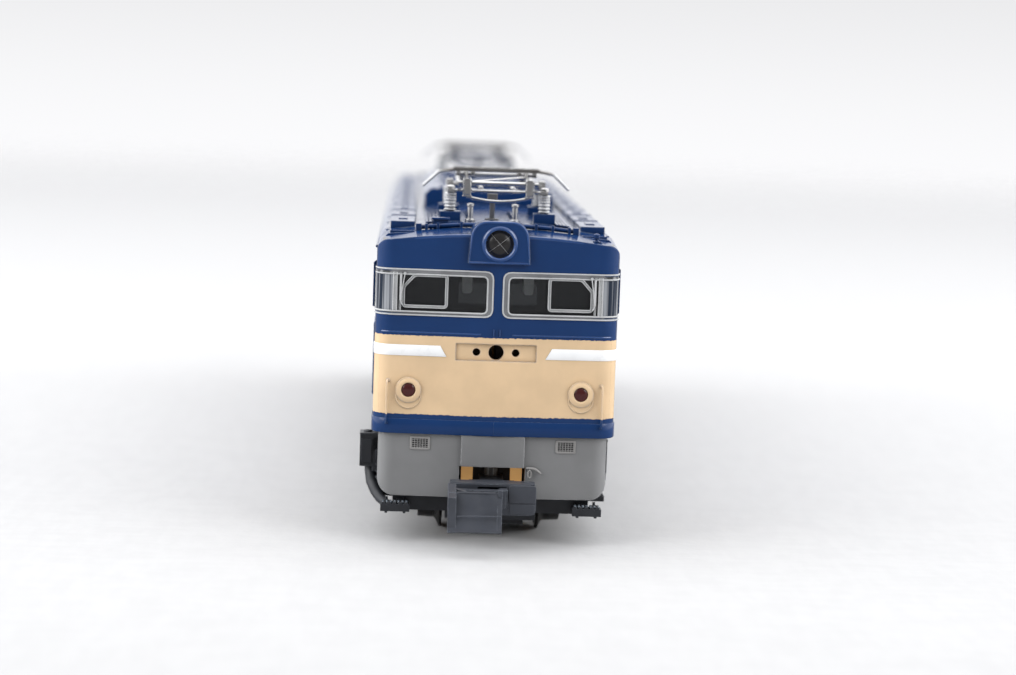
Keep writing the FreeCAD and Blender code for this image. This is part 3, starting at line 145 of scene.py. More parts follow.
# ---------------------------------------------------------------- mesh building
class Form:
    """Points and faces in millimetres, before they become a Blender mesh."""

    def __init__(self):
        self.points = []
        self.faces = []

    def add(self, points, faces):
        start = len(self.points)
        self.points += [Vector(p) for p in points]
        self.faces += [[start + i for i in face] for face in faces]
        return self

    def join(self, *others):
        for other in others:
            self.add(other.points, other.faces)
        return self

    def changed(self, change, flip=False):
        """A copy whose points have been put through change."""
        copy = Form()
        faces = [face[::-1] for face in self.faces] if flip else self.faces
        return copy.add([change(p) for p in self.points], faces)

    def moved(self, x=0.0, y=0.0, z=0.0):
        return self.changed(lambda p: p + Vector((x, y, z)))

    def turned(self):
        """A copy turned half round about the vertical, from the front end to the rear one."""
        return self.changed(lambda p: Vector((-p.x, -p.y, p.z)))

    def mirrored(self):
        return self.changed(lambda p: Vector((-p.x, p.y, p.z)), flip=True)

    def both_sides(self):
        return Form().join(self, self.mirrored())

    def skin(self, rows, looped=True, closed=False, caps=True):
        """Faces between rows of points.

        looped joins the two ends of each row, closed joins the last row to the first.
        """
        width, count = len(rows[0]), len(rows)
        faces = []
        for row in range(count if closed else count - 1):
            a, b = row * width, (row + 1) % count * width
            for i in range(width if looped else width - 1):
                j = (i + 1) % width
                faces.append((a + i, a + j, b + j, b + i))
        if caps and looped and not closed:
            faces.append(tuple(range(width))[::-1])
            faces.append(tuple(range((count - 1) * width, count * width)))
        return self.add([p for row in rows for p in row], faces)

    def prism(self, outline, along):
        along = Vector(along)
        first = [Vector(p) for p in outline]
        return self.skin([first, [p + along for p in first]])

    def block(self, x0, x1, y0, y1, z0, z1):
        return self.prism([(x0, y0, z0), (x1, y0, z0), (x1, y1, z0), (x0, y1, z0)], (0, 0, z1 - z0))

    def tube(self, path, radius, sides=10, closed=False):
        """A round bar along a path. radius is one number, or one for each point."""
        path = [Vector(p) for p in path]
        count = len(path)
        radii = radius if isinstance(radius, (list, tuple)) else [radius] * count
        across = None
        rows = []
        for i, point in enumerate(path):
            before = path[i - 1] if i or closed else point
            after = path[(i + 1) % count] if i + 1 < count or closed else point
            along = (after - before).normalized()
            if across is None:
                across = along.orthogonal().normalized()
            across = (across - along * across.dot(along)).normalized()
            other = along.cross(across)
            rows.append([point + (across * c + other * s) * radii[i] for c, s in circle(sides)])
        return self.skin(rows, closed=closed)

    def lathe(self, profile, centre, axis, steps=32):
        """A closed outline of (radius, distance along the axis) points, turned round the axis."""
        axis = Vector(axis).normalized()
        across = axis.orthogonal().normalized()
        other = axis.cross(across)
        rows = []
        for c, s in circle(steps):
            out = across * c + other * s
            rows.append([Vector(centre) + out * r + axis * d for r, d in profile])
        return self.skin(rows, closed=True)

    def coil(self, start, along, radius, wire, turns, steps=14, sides=6):
        """A helical spring from start, wound round the vector along, which is upright or lies along Y."""
        start, along = Vector(start), Vector(along)
        other = Vector((0, 1, 0)) if along.z else Vector((0, 0, 1))
        path = []
        for share, (c, s) in zip(evenly(0.0, 1.0, turns * steps), arc(2 * math.pi * turns, turns * steps)):
            path.append(start + along * share + Vector((radius * c, 0, 0)) + other * radius * s)
        return self.tube(path, wire, sides=sides)

    def sweep(self, path, profile, place, closed=True):
        """A section of (across, out) points led along a (u, v) path; place(u, v, out) gives the 3-D point."""
        count = len(path)
        rows = []
        for i, (u, v) in enumerate(path):
            before = path[i - 1] if i or closed else path[i]
            after = path[(i + 1) % count] if i + 1 < count or closed else path[i]
            run = Vector((after[0] - before[0], after[1] - before[1])).normalized()
            spots = [(u - run.y * across, v + run.x * across, out) for across, out in profile]
            rows.append([Vector(place(*spot)) for spot in spots])
        return self.skin(rows, closed=closed)


def rounded_path(corners, radius, steps=4):
    """A closed outline with each corner replaced by a smooth bend, which starts radius away from it."""
    path = []
    count = len(corners)
    for i, corner in enumerate(corners):
        corner = Vector(corner)
        before = Vector(corners[i - 1])
        after = Vector(corners[(i + 1) % count])
        start = corner + (before - corner).normalized() * radius
        end = corner + (after - corner).normalized() * radius
        for t in evenly(0.0, 1.0, steps):
            path.append((start * (1 - t) ** 2 + corner * 2 * t * (1 - t) + end * t ** 2).to_tuple())
    return path


def spaced(path, step, closed=True):
    """The same path with extra points, so that no stretch is longer than step."""
    result = []
    count = len(path)
    for i in range(count if closed else count - 1):
        a, b = Vector(path[i]), Vector(path[(i + 1) % count])
        parts = max(1, math.ceil((b - a).length / step))
        result += [a.lerp(b, k / parts).to_tuple() for k in range(parts)]
    return result if closed else result + [path[-1]]


def divided(path, parts):
    """The closed path with every stretch cut into the same number of parts."""
    result = []
    for i, a in enumerate(path):
        a, b = Vector(a), Vector(path[(i + 1) % len(path)])
        result += [a.lerp(b, k / parts).to_tuple() for k in range(parts)]
    return result


def rectangle(u0, u1, v0, v1):
    """Corners in the order that makes a sweep's across positive towards the inside."""
    return [(u0, v0), (u1, v0), (u1, v1), (u0, v1)]


SHARP_ANGLE = math.radians(40)


def piece(name, form, material, body="body", bevel=0.0, segments=2):
    """Makes the form's mesh object, rounds its edges if asked, and rides it on a body."""
    mesh = bpy.data.meshes.new(name)
    mesh.from_pydata([p * MM for p in form.points], [], form.faces)
    work = bmesh.new()
    work.from_mesh(mesh)
    bmesh.ops.remove_doubles(work, verts=work.verts, dist=1e-8)
    bmesh.ops.recalc_face_normals(work, faces=work.faces)
    for face in work.faces:
        face.smooth = True
    for edge in work.edges:
        edge.smooth = len(edge.link_faces) == 2 and edge.calc_face_angle(math.pi) < SHARP_ANGLE
    work.to_mesh(mesh)
    work.free()
    mesh.materials.append(material)
    obj = bpy.data.objects.new(name, mesh)
    bpy.context.scene.collection.objects.link(obj)
    if bevel:
        rounding = obj.modifiers.new("rounded edges", "BEVEL")
        rounding.width = bevel * MM
        rounding.segments = segments
        rounding.limit_method = "ANGLE"
        rounding.angle_limit = SHARP_ANGLE
        rounding.harden_normals = True
    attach(obj, body)
    return obj


def at_both_ends(name, form, material, body="body", **options):
    """The form at the front end and, turned round, at the rear. A body with {} in its name is filled in."""
    for end in ENDS:
        placed = form if end == "front" else form.turned()
        piece(f"{end}_{name}", placed, material, body.format(end), **options)


# ---------------------------------------------------------------- the cab's outline in plan
NOSE_ANGLE = math.atan2(NOSE_PEAK, HALF_WIDTH)
CORNER_TURN = math.pi / 2 - NOSE_ANGLE
CORNER_X = HALF_WIDTH - CORNER
CORNER_Y = -HALF_LENGTH + (CORNER + CORNER_X * math.sin(NOSE_ANGLE)) / math.cos(NOSE_ANGLE)
FRONT_REACH = (CORNER_X + CORNER * math.sin(NOSE_ANGLE)) / math.cos(NOSE_ANGLE)
SIDE_REACH = FRONT_REACH + CORNER * CORNER_TURN
WINDOW_END = SIDE_REACH - CORNER_Y - WINDOW_BACK


def on_hull(reach, z, out=0.0):
    """A point on the front cab, reach along its outline from the middle, pushed out square to the surface."""
    side = 1 if reach >= 0 else -1
    reach = abs(reach)
    if reach < FRONT_REACH:
        angle = NOSE_ANGLE
        x = reach * math.cos(NOSE_ANGLE)
        y = -HALF_LENGTH + reach * math.sin(NOSE_ANGLE)
    elif reach < SIDE_REACH:
        angle = NOSE_ANGLE + (reach - FRONT_REACH) / CORNER
        x = CORNER_X + CORNER * math.sin(angle)
        y = CORNER_Y - CORNER * math.cos(angle)
    else:
        angle = math.pi / 2
        x = HALF_WIDTH
        y = CORNER_Y + reach - SIDE_REACH
    return side * (x + math.sin(angle) * out), y - math.cos(angle) * out, z


def on_front(x, z, out=0.0):
    return on_hull(x / math.cos(NOSE_ANGLE), z, out)


def on_side(y, z, out=0.0):
    return HALF_WIDTH + out, y, z


def roof_height(x, y=0.0):
    """Height of the arched roof between the ducts."""
    shoulder = HALF_WIDTH - SHOULDER_WIDTH
    drop = ROOF_CROWN - (ROOF_EDGE + SHOULDER_RISE)
    fall = 0.0
    for (near, less), (far, more) in zip(ROOF_FALL, ROOF_FALL[1:]):
        share = min(1.0, max(0.0, (abs(y) - near) / (far - near)))
        fall += (more - less) * share
    return ROOF_CROWN - drop * (x / shoulder) ** 2 - fall


# ---------------------------------------------------------------- shader building
class Shader:
    """A material whose main surface is fed by small node calls. Its place is in millimetres."""

    def __init__(self, name):
        self.material = bpy.data.materials.new(name)
        self.material.use_nodes = True
        self.nodes = self.material.node_tree.nodes
        self.links = self.material.node_tree.links
        self.surface = self.nodes["Principled BSDF"]
        where = self.node("TexCoord").outputs["Object"]
        self.place = self.node("VectorMath", {0: where, "Scale": 1 / MM}, operation="SCALE").outputs[0]

    def plug(self, socket, value):
        if isinstance(value, bpy.types.NodeSocket):
            self.links.new(value, socket)
        else:
            socket.default_value = value

    def node(self, kind, sockets=None, **settings):
        made = self.nodes.new("ShaderNode" + kind)
        for name, value in settings.items():
            setattr(made, name, value)
        for name, value in (sockets or {}).items():
            self.plug(made.inputs[name], value)
        return made

    def set(self, **sockets):
        """Feeds the main surface: set(Base_Color=...) and so on."""
        for name, value in sockets.items():
            self.plug(self.surface.inputs[name.replace("_", " ")], value)

    def math(self, operation, a, b=0.0):
        return self.node("Math", {0: a, 1: b}, operation=operation).outputs[0]

    def axes(self):
        return self.node("SeparateXYZ", {0: self.place}).outputs

    def noise(self, per_mm, detail=3.0, rough=0.55):
        """Cloudy noise between 0 and 1, per_mm features to the millimetre."""
        sockets = {"Vector": self.place, "Scale": per_mm, "Detail": detail, "Roughness": rough}
        return self.node("TexNoise", sockets).outputs[0]

    def stretched_noise(self, per_mm):
        """Noise drawn out into streaks: per_mm has one number for each axis."""
        scaled = self.node("VectorMath", {0: self.place, 1: per_mm}, operation="MULTIPLY").outputs[0]
        return self.node("TexNoise", {"Vector": scaled, "Scale": 1.0, "Detail": 4.0}).outputs[0]

    def span(self, value, low, high, to_low=0.0, to_high=1.0):
        sockets = {"Value": value, "From Min": low, "From Max": high, "To Min": to_low, "To Max": to_high}
        return self.node("MapRange", sockets, interpolation_type="SMOOTHSTEP").outputs[0]

    def mix(self, share, a, b):
        made = self.node("Mix", {0: share}, data_type="RGBA")
        self.plug(made.inputs[6], colour(a))
        self.plug(made.inputs[7], colour(b))
        return made.outputs[2]

    def specks(self, per_mm, size, share):
        """Sparse round dots, 1 inside a dot."""
        cells = self.node("TexVoronoi", {"Vector": self.place, "Scale": per_mm})
        dot = self.math("LESS_THAN", cells.outputs["Distance"], size)
        pick = self.node("SeparateColor", {0: cells.outputs["Color"]}).outputs[0]
        return self.math("MULTIPLY", dot, self.math("LESS_THAN", pick, share))

    def crevices(self, reach):
        """1 in the open, falling towards 0 deep in a corner."""
        return self.node("AmbientOcclusion", {"Distance": reach * MM}, samples=6).outputs["AO"]

    def edges(self, radius):
        """(softened normal, mask that is 1 on edges)."""
        soft = self.node("Bevel", {"Radius": radius * MM}, samples=4).outputs[0]
        flat = self.node("NewGeometry").outputs["Normal"]
        agree = self.node("VectorMath", {0: soft, 1: flat}, operation="DOT_PRODUCT").outputs["Value"]
        return soft, self.span(agree, 0.985, 0.86)

    def bump(self, height, depth, normal=None):
        sockets = {"Height": height, "Distance": depth * MM, "Strength": 1.0}
        if normal is not None:
            sockets["Normal"] = normal
        return self.node("Bump", sockets).outputs[0]


def colour(value):
    """Three numbers become a colour; a socket is left alone."""
    return (*value, 1.0) if isinstance(value, (tuple, list)) and len(value) == 3 else value


def shade(value, factor):
    return tuple(min(1.0, channel * factor) for channel in value)


def surface(name, base, rough=0.4, metal=0.0, tone=0.08, grain=0.002, grain_per_mm=9.0,
            edge=0.06, worn_lit_edge=None, worn_lit_edge_amount=0.35, dust=0.0, coat=0.0, specular=0.5, painted_corner_shade=0.45, glow=None):
    """The usual finish: mottled colour, painted shade in corners, uneven roughness, fine grain, edges
    lightened by wear and as a painted highlight, dust.

    base is a colour or a function of the shader that returns a colour socket; glow is such a function for the
    strength of light given off, which is painted light on a part that is no lamp.
    """
    s = Shader(name)
    clouds = s.noise(0.35)
    fine = s.noise(grain_per_mm, detail=4.0)
    soft, edge_mask = s.edges(edge)
    body_colour = base(s) if callable(base) else colour(base)
    dark = s.node("Mix", {0: 1.0}, data_type="RGBA", blend_type="MULTIPLY")
    s.plug(dark.inputs[6], body_colour)
    level = s.span(clouds, 0.3, 0.7, 1 - tone, 1 + tone)
    # Painted shade: the colour darkens in corners and crevices.
    level = s.math("MULTIPLY", level, s.span(s.crevices(0.8), 0.25, 0.95, 1 - painted_corner_shade, 1.0))
    s.plug(dark.inputs[7], s.node("CombineColor", {0: level, 1: level, 2: level}).outputs[0])
    mottled = dark.outputs[2]
    # Edges lightened in patches: partly wear, partly a painted highlight.
    worn_lit_edges = s.math("MULTIPLY", edge_mask, s.span(s.noise(2.5), 0.35, 0.65, 0.35 * worn_lit_edge_amount, worn_lit_edge_amount))
    worn_lit_edge_colour = worn_lit_edge if worn_lit_edge is not None else (0.75, 0.78, 0.82)
    painted = s.mix(worn_lit_edges, mottled, worn_lit_edge_colour)
    if dust:
        flecks = s.specks(2.2, 0.09, dust)
        painted = s.mix(s.math("MULTIPLY", flecks, 0.45), painted, (0.7, 0.75, 0.8))
    s.set(Base_Color=painted, Metallic=metal, Coat_Weight=coat, Coat_Roughness=0.08)
    s.plug(s.surface.inputs["Specular IOR Level"], specular)
    if glow:
        s.set(Emission_Color=painted, Emission_Strength=glow(s))
    s.set(Roughness=s.span(s.noise(1.1), 0.3, 0.7, rough * 0.8, min(1.0, rough * 1.2)))
    s.set(Normal=s.bump(fine, grain, soft))
    return s.material


# ---------------------------------------------------------------- materials
BLUE = (0.0070, 0.034, 0.124)
CREAM = (0.70, 0.51, 0.315)
INSIDE = (0.010, 0.010, 0.011)


def livery(s):
    """Blue, cream and the black inside of the body shell, by place on the shell."""
    x, y, z = s.axes()
    x, y = s.math("ABSOLUTE", x), s.math("ABSOLUTE", y)
    ragged = s.math("ADD", z, s.span(s.noise(7.0), 0.3, 0.7, -0.035, 0.035))
    top = s.node("MapRange", {
        "Value": y, "From Min": CREAM_SLANT[0], "From Max": CREAM_SLANT[1],
        "To Min": SIDE_CREAM_TOP, "To Max": CREAM_TOP,
    }).outputs[0]
    above_band = s.math("GREATER_THAN", ragged, BAND_TOP)
    below_top = s.math("LESS_THAN", ragged, top)
    painted = s.mix(s.math("MULTIPLY", above_band, below_top), BLUE, CREAM)
    within_x = s.math("LESS_THAN", x, HALF_WIDTH - 0.45)
    within_y = s.math("LESS_THAN", y, HALF_LENGTH - NOSE_PEAK - 0.35)
    within_z = s.math("LESS_THAN", z, ROOF_EDGE + 0.5)
    inside = s.math("MULTIPLY", within_x, s.math("MULTIPLY", within_y, within_z))
    return s.mix(inside, painted, INSIDE)


def clear_glass(name, tint, reflect=1.0):
    """Thin clear plastic: see-through, with a mirror-like sheen that grows towards grazing angles."""
    s = Shader(name)
    smears = s.span(s.noise(0.8), 0.35, 0.7, 0.02, 0.09)
    sheen = s.node("BsdfGlossy", {"Roughness": smears, "Color": colour((0.95, 0.97, 1.0))})
    through = s.node("BsdfTransparent", {"Color": colour(tint)})
    share = s.node("Fresnel", {"IOR": 1.5, "Normal": s.bump(s.noise(0.6), 0.004)}).outputs[0]
    share = s.math("MULTIPLY", share, reflect)
    both = s.node("MixShader", {0: share, 1: through.outputs[0], 2: sheen.outputs[0]})
    s.links.new(both.outputs[0], s.nodes["Material Output"].inputs["Surface"])
    return s.material


def dark_lens(name, base, rough=0.06):
    """Solid-looking lamp glass: deep colour under a polished surface, lightened towards grazing angles as a
    painted sheen.
    """
    s = Shader(name)
    # Painted sheen: the colour lightens towards grazing angles.
    depth = s.node("LayerWeight", {"Blend": 0.35}).outputs["Facing"]
    share = s.math("MULTIPLY", depth, s.span(s.noise(1.5), 0.3, 0.7, 0.5, 1.0))
    with_painted_sheen = s.mix(share, base, shade(base, 3.0))
    s.set(Base_Color=with_painted_sheen, Roughness=rough, Coat_Weight=0.5, Coat_Roughness=rough)
    s.set(Normal=s.bump(s.noise(3.0), 0.0015))
    return s.material


def brushed_metal(name, base, streaks, rough=0.3, tone=0.12, worn_lit_edge=(0.85, 0.85, 0.85)):
    """Bare metal with fine drawn streaks."""
    s = Shader(name)
    lines = s.stretched_noise(streaks)
    soft, edge_mask = s.edges(0.04)
    mottled = s.mix(s.span(lines, 0.35, 0.65), shade(base, 1 - tone), shade(base, 1 + tone))
    tarnished = s.mix(s.span(s.noise(0.9), 0.5, 0.75, 0.0, 0.35), mottled, shade(base, 0.55))
    # Edges lightened: partly wear, partly a painted highlight.
    s.set(Base_Color=s.mix(s.math("MULTIPLY", edge_mask, 0.5), tarnished, worn_lit_edge), Metallic=1.0)
    s.set(Roughness=s.span(lines, 0.3, 0.7, rough * 0.7, rough * 1.3))
    s.set(Normal=s.bump(lines, 0.0015, soft))
    return s.material


def collector_metal(s):
    """Silver, with the wearing strips on top dark from arcing."""
    z = s.axes()[2]
    return s.mix(s.span(z, 27.36, 27.42), (0.62, 0.62, 0.63), (0.24, 0.23, 0.22))


def wheel_metal(s):
    """Blackened metal, greyer in the patches where it has worn."""
    return s.mix(s.span(s.noise(1.6), 0.3, 0.7, 0.2, 0.8), (0.07, 0.068, 0.066), (0.16, 0.155, 0.15))


def opening_light(s):
    """Painted light: a glow near both ends only, standing in for the light that comes in through the coupler
    openings.
    """
    return s.span(s.math("ABSOLUTE", s.axes()[1]), 44.0, 46.0, 0.0, 0.25)


def corner_reflections(s):
    """Painted reflections: the upright bands that thick curved glass shows, light where it catches the room
    and dark between.
    """
    bands = s.stretched_noise((2.2, 2.2, 0.03))
    return s.mix(s.span(bands, 0.50, 0.62), (0.015, 0.022, 0.038), (0.30, 0.315, 0.34))


PAINT = dict(rough=0.17, tone=0.05, grain=0.0015, grain_per_mm=5.0, dust=0.006, specular=0.38)
SHELL_PAINT = surface("livery_paint", livery, edge=0.16, worn_lit_edge_amount=0.35, worn_lit_edge=(0.30, 0.40, 0.56), **PAINT)
BLUE_PAINT = surface("blue_paint", BLUE, edge=0.05, worn_lit_edge_amount=0.35, worn_lit_edge=(0.30, 0.40, 0.58), **PAINT)
CREAM_PAINT = surface("cream_paint", CREAM, edge=0.05, worn_lit_edge_amount=0.5, worn_lit_edge=(0.93, 0.85, 0.70), **PAINT)
# Lighter than the body's blue: a painted highlight on the rounded beads, which carry the same paint.
HIGHLIT_BEAD_PAINT = surface("bead_paint_highlit", (0.014, 0.055, 0.19), rough=0.12, tone=0.05, grain=0.001, edge=0.03,
                     worn_lit_edge=(0.35, 0.48, 0.70), worn_lit_edge_amount=0.5, coat=1.0, painted_corner_shade=0.0)
WHITE_PAINT = surface("white_paint", (0.90, 0.91, 0.92), rough=0.3, tone=0.03, worn_lit_edge=(0.8, 0.8, 0.8), worn_lit_edge_amount=0.2)
# Light edges on the window frames: partly wear, partly a painted highlight.
TRIM_PLASTIC = surface("window_trim", (0.50, 0.51, 0.52), rough=0.2, tone=0.10, edge=0.03,
                       worn_lit_edge=(0.92, 0.93, 0.95), worn_lit_edge_amount=0.7, coat=0.5, painted_corner_shade=0.7)
CHANNEL_PLASTIC = surface("window_channel", (0.21, 0.215, 0.225), rough=0.16, tone=0.25, edge=0.03,
                          worn_lit_edge=(0.6, 0.61, 0.63), worn_lit_edge_amount=0.4, coat=0.8)
# Strongly lightened edges on the skirt: partly wear, partly a painted highlight.
SKIRT_PLASTIC = surface("skirt_plastic", (0.19, 0.192, 0.195), rough=0.36, tone=0.05, grain=0.003, edge=0.10,
                        worn_lit_edge=(0.60, 0.61, 0.63), worn_lit_edge_amount=0.75, specular=0.8, painted_corner_shade=0.3)
VENT_PLASTIC = surface("vent_plastic", (0.25, 0.245, 0.24), rough=0.35, tone=0.10, edge=0.03,
                       worn_lit_edge=(0.55, 0.55, 0.55), worn_lit_edge_amount=0.5, painted_corner_shade=0.3)
VENT_DARK = surface("vent_dark", (0.012, 0.012, 0.013), rough=0.9, specular=0.1)
SLATE_PLASTIC = surface("coupler_plastic", (0.048, 0.053, 0.066), rough=0.42, tone=0.12, grain=0.006,
                        grain_per_mm=6.0, worn_lit_edge=(0.33, 0.38, 0.45), worn_lit_edge_amount=0.55)
BOGIE_PLASTIC = surface("bogie_plastic", (0.022, 0.024, 0.029), rough=0.42, tone=0.18, grain=0.004,
                        worn_lit_edge=(0.20, 0.23, 0.28), worn_lit_edge_amount=0.4, dust=0.05)
# Lighter blue-grey than the bogie: a painted highlight on the step studs.
HIGHLIT_TREAD_PLASTIC = surface("tread_plastic_highlit", (0.10, 0.125, 0.155), rough=0.25, tone=0.2, edge=0.03, coat=0.6,
                        worn_lit_edge=(0.5, 0.6, 0.7), worn_lit_edge_amount=0.7)
CHROME = surface("pantograph_silver", (0.66, 0.655, 0.65), rough=0.22, metal=1.0, tone=0.10, grain=0.001,
                 edge=0.03, worn_lit_edge=(0.95, 0.95, 0.95), worn_lit_edge_amount=0.6)
COLLECTOR = surface("collector_metal", collector_metal, rough=0.34, metal=0.9, tone=0.12, edge=0.03)
INSULATOR_WHITE = surface("insulator_glaze", (0.66, 0.67, 0.68), rough=0.16, metal=0.45, tone=0.10, edge=0.04,
                          worn_lit_edge=(0.95, 0.96, 0.97), worn_lit_edge_amount=0.7, coat=0.8, painted_corner_shade=0.6)
INSIDE_PLASTIC = surface("inside_plastic", INSIDE, rough=0.5, tone=0.2, worn_lit_edge=(0.05, 0.05, 0.055))
POST_PLASTIC = surface("post_plastic", (0.42, 0.42, 0.415), rough=0.35, tone=0.2, worn_lit_edge=(0.7, 0.7, 0.7),
                       painted_corner_shade=0.2)
# Painted reflections: light and dark upright bands in the corner panes' colour.
CORNER_GLASS = surface("corner_glass", corner_reflections, rough=0.06, tone=0.03, grain=0.0005, edge=0.02,
                       worn_lit_edge=(0.8, 0.82, 0.85), worn_lit_edge_amount=0.3, coat=0.2, specular=0.25)
# Painted light: the contact strips glow near the coupler openings, though they are no lamp.
COPPER = surface("phosphor_bronze", (1.0, 0.55, 0.20), rough=0.45, metal=0.1, tone=0.10, edge=0.03,
                 worn_lit_edge=(1.0, 0.80, 0.50), painted_corner_shade=0.1, glow=opening_light)
BRASS = brushed_metal("turned_brass", (0.78, 0.57, 0.25), (14.0, 1.0, 14.0))
STEEL = brushed_metal("plain_steel", (0.50, 0.50, 0.51), (18.0, 2.0, 18.0))
DIECAST = surface("diecast_metal", (0.20, 0.20, 0.205), rough=0.5, metal=0.8, tone=0.15, grain=0.006,
                  grain_per_mm=4.0, worn_lit_edge=(0.5, 0.5, 0.5))
MAGNET = surface("sintered_magnet", (0.035, 0.035, 0.037), rough=0.6, metal=0.4, tone=0.2, grain=0.004)
BOARD = surface("circuit_board", (0.012, 0.075, 0.035), rough=0.35, tone=0.2, grain=0.003,
                worn_lit_edge=(0.25, 0.30, 0.2))
GEAR_PLASTIC = surface("gear_plastic", (0.74, 0.72, 0.66), rough=0.38, tone=0.06, worn_lit_edge=(0.9, 0.89, 0.86))
WHEEL_STEEL = surface("wheel_steel", wheel_metal, rough=0.32, metal=1.0, tone=0.1, worn_lit_edge=(0.7, 0.69, 0.67))
HEADLIGHT_GLASS = dark_lens("headlight_glass", (0.014, 0.013, 0.013), rough=0.22)
TAIL_GLASS = dark_lens("tail_lamp_glass", (0.055, 0.008, 0.008))
WINDOW_GLASS = clear_glass("window_glass", (0.90, 0.91, 0.91))

SLOT_MATERIALS = {
    "blue_body": SHELL_PAINT,
    "grey_skirt": SKIRT_PLASTIC,
    "clear_plastic": WINDOW_GLASS,
    "red_lens": TAIL_GLASS,
    "diecast": DIECAST,
    "steel": STEEL,
    "magnet": MAGNET,
    "black_plastic": INSIDE_PLASTIC,
    "bronze": COPPER,
    "brass": BRASS,
    "board": BOARD,
    "silver_metal": CHROME,
    "insulator": INSULATOR_WHITE,
    "frame_black": BOGIE_PLASTIC,
    "gear_plastic": GEAR_PLASTIC,
    "wheel_steel": WHEEL_STEEL,
}
NODE_MATERIALS = {
    "headlight_lenses": HEADLIGHT_GLASS,
    "front_coupler": SLATE_PLASTIC,
    "rear_coupler": SLATE_PLASTIC,
    "front_coupler_pocket": SLATE_PLASTIC,
    "rear_coupler_pocket": SLATE_PLASTIC,
    "front_pantograph_head": COLLECTOR,
    "rear_pantograph_head": COLLECTOR,
}


def dress_cad_nodes():
    slots = {part["node"]: part["material_slot"] for part in frame["record"]["subparts"]}
    for name, obj in frame["nodes"].items():
        material = NODE_MATERIALS.get(name, SLOT_MATERIALS[slots[name]])
        if not obj.material_slots:
            obj.data.materials.append(material)
        for slot in obj.material_slots:
            slot.material = material


# ---------------------------------------------------------------- cab windows
RIDGE_SECTION = [(-0.07, -0.08), (-0.07, 0.03), (-0.04, 0.08), (0.03, 0.08), (0.07, 0.03), (0.07, -0.08)]
THIN_SECTION = [
    (-0.12, -0.05), (-0.12, 0.04), (-0.10, 0.07), (-0.065, 0.07), (-0.045, 0.01), (0.045, 0.01),
    (0.065, 0.07), (0.10, 0.07), (0.12, 0.04), (0.12, -0.05),
]
WINDOW_RIDGES = [                  # sides and corner rounding of each frame's outer and inner edge
    ((WINDOW_INNER - 0.20, WINDOW_END, WINDOW_BOTTOM - 0.13, WINDOW_TOP + 0.13), 0.6),
    ((WINDOW_INNER + 0.20, WINDOW_END - 0.1, WINDOW_BOTTOM + 0.12, WINDOW_TOP - 0.24), 0.4),
]
DEFROSTER = [(3.93, 17.52), (7.22, 17.52), (7.22, 19.0), (6.38, 19.92), (3.93, 19.92)]
MULLION_REACH = 7.86


def window_ridges():
    """The raised outer and inner edges of each window frame."""
    form = Form()
    for sides, rounding in WINDOW_RIDGES:
        path = spaced(rounded_path(rectangle(*sides), rounding), 0.35)
        form.sweep(path, RIDGE_SECTION, on_hull)
    return form.both_sides()


def window_channels():
    """The glossy sunk band between the two edges."""
    rings = [rounded_path(rectangle(*sides), rounding) for sides, rounding in WINDOW_RIDGES]
    outer, inner = [divided(ring, 10) for ring in rings]
    rows = []
    for (u0, v0), (u1, v1) in zip(outer, inner):
        u, v = (u0 + u1) / 2, (v0 + v1) / 2
        section = [(u0, v0, -0.08), (u0, v0, 0.03), (u, v, 0.0), (u1, v1, 0.03), (u1, v1, -0.08)]
        rows.append([on_hull(*spot) for spot in section])
    return Form().skin(rows, closed=True).both_sides()


def mullions():
    """Upright bars where the flat panes meet the corner panes."""
    form = Form()
    for reach, width in ((MULLION_REACH, 1.6), (MULLION_REACH - 0.40, 0.7)):
        path = [(reach, z) for z in (WINDOW_BOTTOM + 0.1, WINDOW_TOP - 0.1)]
        section = [(across * width, out) for across, out in THIN_SECTION]
        form.sweep(path, section, on_hull, closed=False)
    return form.both_sides()


def defroster_frames():
    path = spaced(rounded_path(DEFROSTER, 0.22), 0.5)
    return Form().sweep(path, THIN_SECTION, on_hull).both_sides()


def wipers():
    """Parked upright beside the heated panes: arm, blade and the foot that joins the frame."""
    form = Form()
    blade_x = 7.40
    pivot = (7.12, 20.02)
    blade = [on_front(blade_x, z, 0.14) for z in (17.95, 18.6, 19.3, 19.95)]
    arm = [on_front(x, z, 0.16) for x, z in (pivot, (7.25, 19.2), (7.36, 18.5), (blade_x, 18.3))]
    foot = [on_front(x, z, 0.10) for x, z in ((blade_x, 17.95), (7.36, 17.75), (7.24, 17.62))]
    form.tube(blade, 0.085, sides=8)
    form.tube(arm, 0.05, sides=8)
    form.tube(foot, 0.06, sides=8)
    form.tube([on_front(*pivot, -0.02), on_front(*pivot, 0.2)], 0.12, sides=10)
    return form.both_sides()


def deflector_fins():
    """Small upright fins on the cab sides, behind the corner windows."""
    form = Form()
    y0 = -WINDOW_BACK + 0.22
    outline = [
        (HALF_WIDTH - 0.05, y0, 17.0), (HALF_WIDTH + 0.26, y0 - 0.1, 17.15),
        (HALF_WIDTH + 0.26, y0 - 0.1, 20.55), (HALF_WIDTH - 0.05, y0, 20.8),
    ]
    return form.prism(outline, (0, 0.16, 0)).both_sides()


def light_shield():
    """Black moulding that closes the cab behind its windows: back, floor and ceiling."""
    form = Form()
    half, low, high = 8.3, 15.6, 21.6
    back = -HALF_LENGTH + 3.6
    form.block(-half, half, back, back + 0.4, low, high)
    form.block(-half, half, -HALF_LENGTH + 1.6, back, low, low + 0.3)
    form.block(-half, half, -HALF_LENGTH + 1.9, back, high - 0.4, high - 0.1)
    return form


def cab_posts():
    """Two short posts that hang behind the inner ends of the windows."""
    form = Form()
    outline = rounded_path(rectangle(1.95, 2.75, 18.55, 20.9), 0.3)
    y = -HALF_LENGTH + 1.15
    return form.prism([(x, y, z) for x, z in outline], (0, 0.7, 0)).both_sides()


